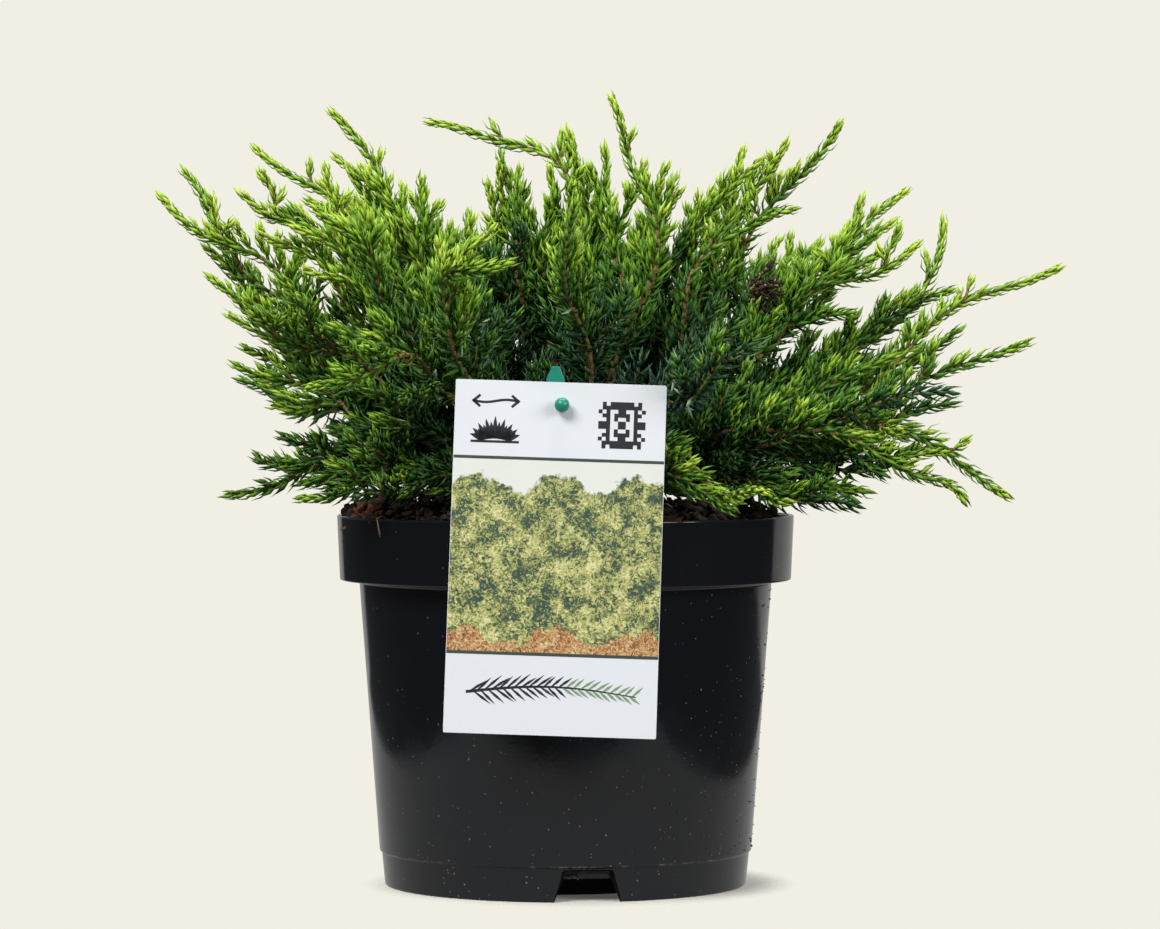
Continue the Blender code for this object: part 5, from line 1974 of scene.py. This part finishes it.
def make_reflections():
    """Painted reflections for the pot's gloss: a glowing pale sheet under it and a wall behind it, and dark
    sheets beyond and right under it, which only glossy rays see.
    """
    dark = glowing("painted_reflection_dark", (0.02, 0.02, 0.022), 1.0)
    pale = glowing("painted_reflection_pale", (0.98, 0.98, 0.96), 0.46)
    left, right, front, back = -0.34, 0.29, -0.285, 0.8
    painted_reflection_floor = [(left, front), (right, front), (right, back), (left, back)]
    wall = [(-0.46, -0.4), (1.05, -0.4), (1.05, 0.9), (-0.46, 0.9)]
    # Glowing painted reflections of a pale floor and wall, and painted dark beyond and painted shade right
    # under the pot
    for name, outline, material, place in (
        ("painted_reflection_ground", circle(0, 0, 6.0, 48), dark, Matrix.Translation((0, 0, -0.004))),
        ("painted_reflection_floor", painted_reflection_floor, pale, Matrix.Translation((0, 0, -0.001))),
        ("painted_reflection_wall", wall, pale, Matrix.Translation((0.0, back, 0.3)) @ UPRIGHT),
        ("pot_shade", circle(0, 0, FOOT_RADIUS - 0.001, 64), dark, Matrix.Translation((0, 0, -0.0005))),
    ):
        only_seen_by(stage_sheet(name, outline, material, place), glossy=True)


class JUNIPER_OT_pot(Operator):
    """Turn the pot with rounded edges and cut its drain notches."""

    bl_idname = "juniper.pot"
    bl_label = "Pot"

    def execute(self, context):
        pot = context.scene.juniper_pot
        profile = rounded(pot_corners(pot.edge))
        start = profile.index((0.0, WALL))
        outline = held(profile[start:] + profile[:start], 0.0004, 0.003)
        body = turned("pot_body", outline, pot.facets)
        cutters = [notch_cutter(heading) for heading in NOTCH_HEADINGS]
        for cutter in cutters:
            combine(body, cutter, "DIFFERENCE")
        mesh = take_mesh(body)
        for cutter in cutters:
            bpy.data.objects.remove(cutter, do_unlink=True)
        if not mesh.polygons:
            raise RuntimeError("the pot lost its faces when its notches were cut")
        add_piece("pot_moulded", finished(mesh, polypropylene_moulded(), math.radians(35)), "pot", "pot")
        return {"FINISHED"}


class JUNIPER_OT_soil(Operator):
    """Fill the pot with lumpy soil, crumbs, chips of bark and fine roots."""

    bl_idname = "juniper.soil"
    bl_label = "Soil"

    def execute(self, context):
        pot = context.scene.juniper_pot
        peat = mottled("peat_moist_crumbled", pot.peat, pot.peat_dry, 2.5, 0.0006, 0.96)
        mound = Batch().add(*soil_mesh(pot.lump)).mesh("soil_mound", [peat])
        add_piece("soil_mound", mound, "soil", "soil")
        chip = mottled("pine_bark_chipped", linear("3A2218"), linear("7A4A30"), 1.6, 0.0003, 0.9)
        pale = mottled("perlite_expanded", linear("A79F90"), linear("D8D2C4"), 0.8, 0.0002, 0.95)
        rng = np.random.default_rng(11)
        crumbs = Batch()
        scatter(crumbs, rng, pot.crumbs, (0.0008, 0.0032), (1.0, 0.9, 0.7), 0)
        scatter(crumbs, rng, 130, (0.0025, 0.007), (1.5, 0.6, 0.3), 1)
        chipped = [(-0.069, -0.032), (-0.064, -0.02)]
        scatter(crumbs, rng, 170, (0.0028, 0.0075), (1.3, 0.6, 0.5), 1, chipped, 0.006, 0.011)
        heaps = [(-0.055, -0.034), (-0.045, -0.044), (-0.074, -0.01), (0.05, -0.046), (0.066, -0.03)]
        scatter(crumbs, rng, 420, (0.002, 0.0055), (1.0, 0.8, 0.7), 0, heaps, 0.008, 0.009)
        scatter(crumbs, rng, 60, (0.0006, 0.0014), (1.0, 1.0, 0.8), 2)
        dried = mottled("peat_dried_on_wall", linear("2E241B"), linear("85745F"), 0.9, 0.0001, 0.95)
        wall_specks(crumbs, rng, 190, 3)
        mesh = crumbs.mesh("soil_crumbs", [peat, chip, pale, dried], smooth=False)
        add_piece("soil_crumbs", mesh, "soil", "soil")
        fibre = mottled("root_fibre_dried", linear("5A4028"), linear("A58A66"), 1.2, 0.0001, 0.85)
        roots = Batch()
        root_fibres(roots, rng, 70, 0)
        fibre_over_rim(roots, 0)
        roots_in_notch(roots, rng, 1)
        # The root ends in the front notch are a darker brown than the fibres on the soil
        dark_fibre = mottled("root_fibre_dark_brown", linear("24140E"), linear("5E3A28"), 0.8, 0.0001, 0.7)
        add_piece("soil_fibres", roots.mesh("soil_fibres", [fibre, dark_fibre]), "soil", "soil")
        return {"FINISHED"}


class JUNIPER_OT_limbs(Operator):
    """Make the stem and the boughs with the relief of their bark."""

    bl_idname = "juniper.limbs"
    bl_label = "Stem and boughs"

    def execute(self, context):
        plant = context.scene.juniper_plant
        bark = bark_scaly("juniper_bark_flaking", plant.bark, plant.bark_light, 1.4, 0.0003)
        add_piece("stem_bark", stem_mesh(bark), "bark", "stem")
        boughs, _, _, _ = skeleton()
        for name, arc in boughs.items():
            add_piece(f"limb_{name}", limb_mesh(f"limb_{name}", arc, bark), "bark", f"bough_{name}")
        return {"FINISHED"}


class JUNIPER_OT_foliage(Operator):
    """Grow the shoots of every mass and set them with needles."""

    bl_idname = "juniper.foliage"
    bl_label = "Twigs and needles"

    def execute(self, context):
        plant = context.scene.juniper_plant
        palette = needle_palette()
        old = bark_scaly("juniper_twig_bark_flaking", linear("4E3B28"), linear("9A7B4C"), 0.7, 0.0001)
        green = mottled("juniper_twig_green", tuple(plant.twig), linear("808336"), 1.5, 0.00005, 0.6, 2.0)
        for bough in BOUGHS:
            masses = [name for name, mass in MASSES.items() if mass.bough == bough]
            fills = [name for name, mass in FILLS.items() if mass.bough == bough]
            needles = []
            grown = []
            for name in masses + fills + [bough]:
                shoots = grow_bough(bough) if name == bough else grow_mass(name)
                if name == "right_mid_front":
                    shoots += grow_dead_tuft()
                grown += shoots
                rng = np.random.default_rng(zlib.crc32(f"{bough}_{name}_needles".encode()))
                # The mass's painted light, below zero its painted shade
                painted_light = PAINTED_LIGHT_BY_MASS.get(name, PAINTED_LIGHT_BY_MASS.get(bough, 0.0))
                sprays = [set_needles(shoot, painted_light, rng) for shoot in shoots]
                needles += [spray for spray in sprays if spray is not None]
            if not needles:
                raise RuntimeError(f"no needles grew on bough {bough}")
            mesh = needle_mesh(f"needles_{bough}", needles, palette)
            add_piece(f"needles_{bough}", mesh, "foliage", *masses)
            wood = twig_batch(grown).mesh(f"twigs_{bough}", [old, green])
            add_piece(f"twigs_{bough}", wood, "foliage", *masses)
        return {"FINISHED"}


class JUNIPER_OT_card(Operator):
    """Make the label card and print its generic pattern."""

    bl_idname = "juniper.card"
    bl_label = "Label card"

    def execute(self, context):
        make_card()
        return {"FINISHED"}


class JUNIPER_OT_holder(Operator):
    """Make the stake and the peg that hold the card."""

    bl_idname = "juniper.holder"
    bl_label = "Label holder"

    def execute(self, context):
        make_holder()
        return {"FINISHED"}


class JUNIPER_OT_stage(Operator):
    """Set the camera, the plain floor and backdrop, and the soft light."""

    bl_idname = "juniper.stage"
    bl_label = "Stage"

    def execute(self, context):
        stage = context.scene.juniper_stage
        camera = bpy.data.cameras.new("camera_front")
        camera.sensor_width = SENSOR
        camera.lens = LENS
        viewer = temporary("camera_front", camera)
        viewer.location = CAMERA_PLACE
        viewer.rotation_euler = (QUARTER - CAMERA_PITCH, 0.0, 0.0)
        context.scene.camera = viewer
        make_backdrop()
        make_floor()
        make_reflections()
        middle = (0.0, 0.0, 0.18)
        soft_box("key_soft_box", stage.key, (1.1, 0.9), (-1.0, -1.35, 1.55), middle)
        soft_box("fill_soft_box", stage.fill, (1.2, 1.0), (1.5, -1.2, 0.9), middle)
        soft_box("top_soft_box", stage.top, (1.2, 1.2), (0.1, 0.25, 1.9), middle)
        world = bpy.data.worlds.new("even_light")
        world.use_nodes = True
        ground = world.node_tree.nodes["Background"]
        ground.inputs["Color"].default_value = (*linear("E9EEF6"), 1.0)
        ground.inputs["Strength"].default_value = stage.ambient
        context.scene.world = world
        context.scene.view_settings.view_transform = "Standard"
        return {"FINISHED"}


OPERATORS = (
    JUNIPER_OT_pot,
    JUNIPER_OT_soil,
    JUNIPER_OT_limbs,
    JUNIPER_OT_foliage,
    JUNIPER_OT_card,
    JUNIPER_OT_holder,
    JUNIPER_OT_stage,
)
GROUPS = {
    "juniper_pot": JuniperPotSettings,
    "juniper_plant": JuniperPlantSettings,
    "juniper_label": JuniperLabelSettings,
    "juniper_stage": JuniperStageSettings,
}


class JUNIPER_PT_panel(Panel):
    """The makers of the potted juniper's pieces, with their settings."""

    bl_label = "Potted Juniper"
    bl_idname = "JUNIPER_PT_panel"
    bl_space_type = "VIEW_3D"
    bl_region_type = "UI"
    bl_category = "Juniper"

    def draw(self, context):
        for operator in OPERATORS:
            self.layout.operator(operator.bl_idname)
        for name in GROUPS:
            group = getattr(context.scene, name)
            box = self.layout.box()
            for setting in group.bl_rna.properties.keys():
                if setting not in ("rna_type", "name"):
                    box.prop(group, setting)


def register():
    """Register the settings, the operators and the panel."""
    for group in GROUPS.values():
        bpy.utils.register_class(group)
    for name, group in GROUPS.items():
        setattr(bpy.types.Scene, name, PointerProperty(type=group))
    for operator in OPERATORS:
        bpy.utils.register_class(operator)
    bpy.utils.register_class(JUNIPER_PT_panel)


def unregister():
    """Remove what register added."""
    bpy.utils.unregister_class(JUNIPER_PT_panel)
    for operator in reversed(OPERATORS):
        bpy.utils.unregister_class(operator)
    for name, group in GROUPS.items():
        delattr(bpy.types.Scene, name)
        bpy.utils.unregister_class(group)


def main():
    """Make every piece and the stage."""
    register()
    bpy.ops.juniper.pot()
    bpy.ops.juniper.soil()
    bpy.ops.juniper.limbs()
    bpy.ops.juniper.foliage()
    bpy.ops.juniper.card()
    bpy.ops.juniper.holder()
    bpy.ops.juniper.stage()
    bpy.context.view_layer.update()


if __name__ == "__main__":
    main()
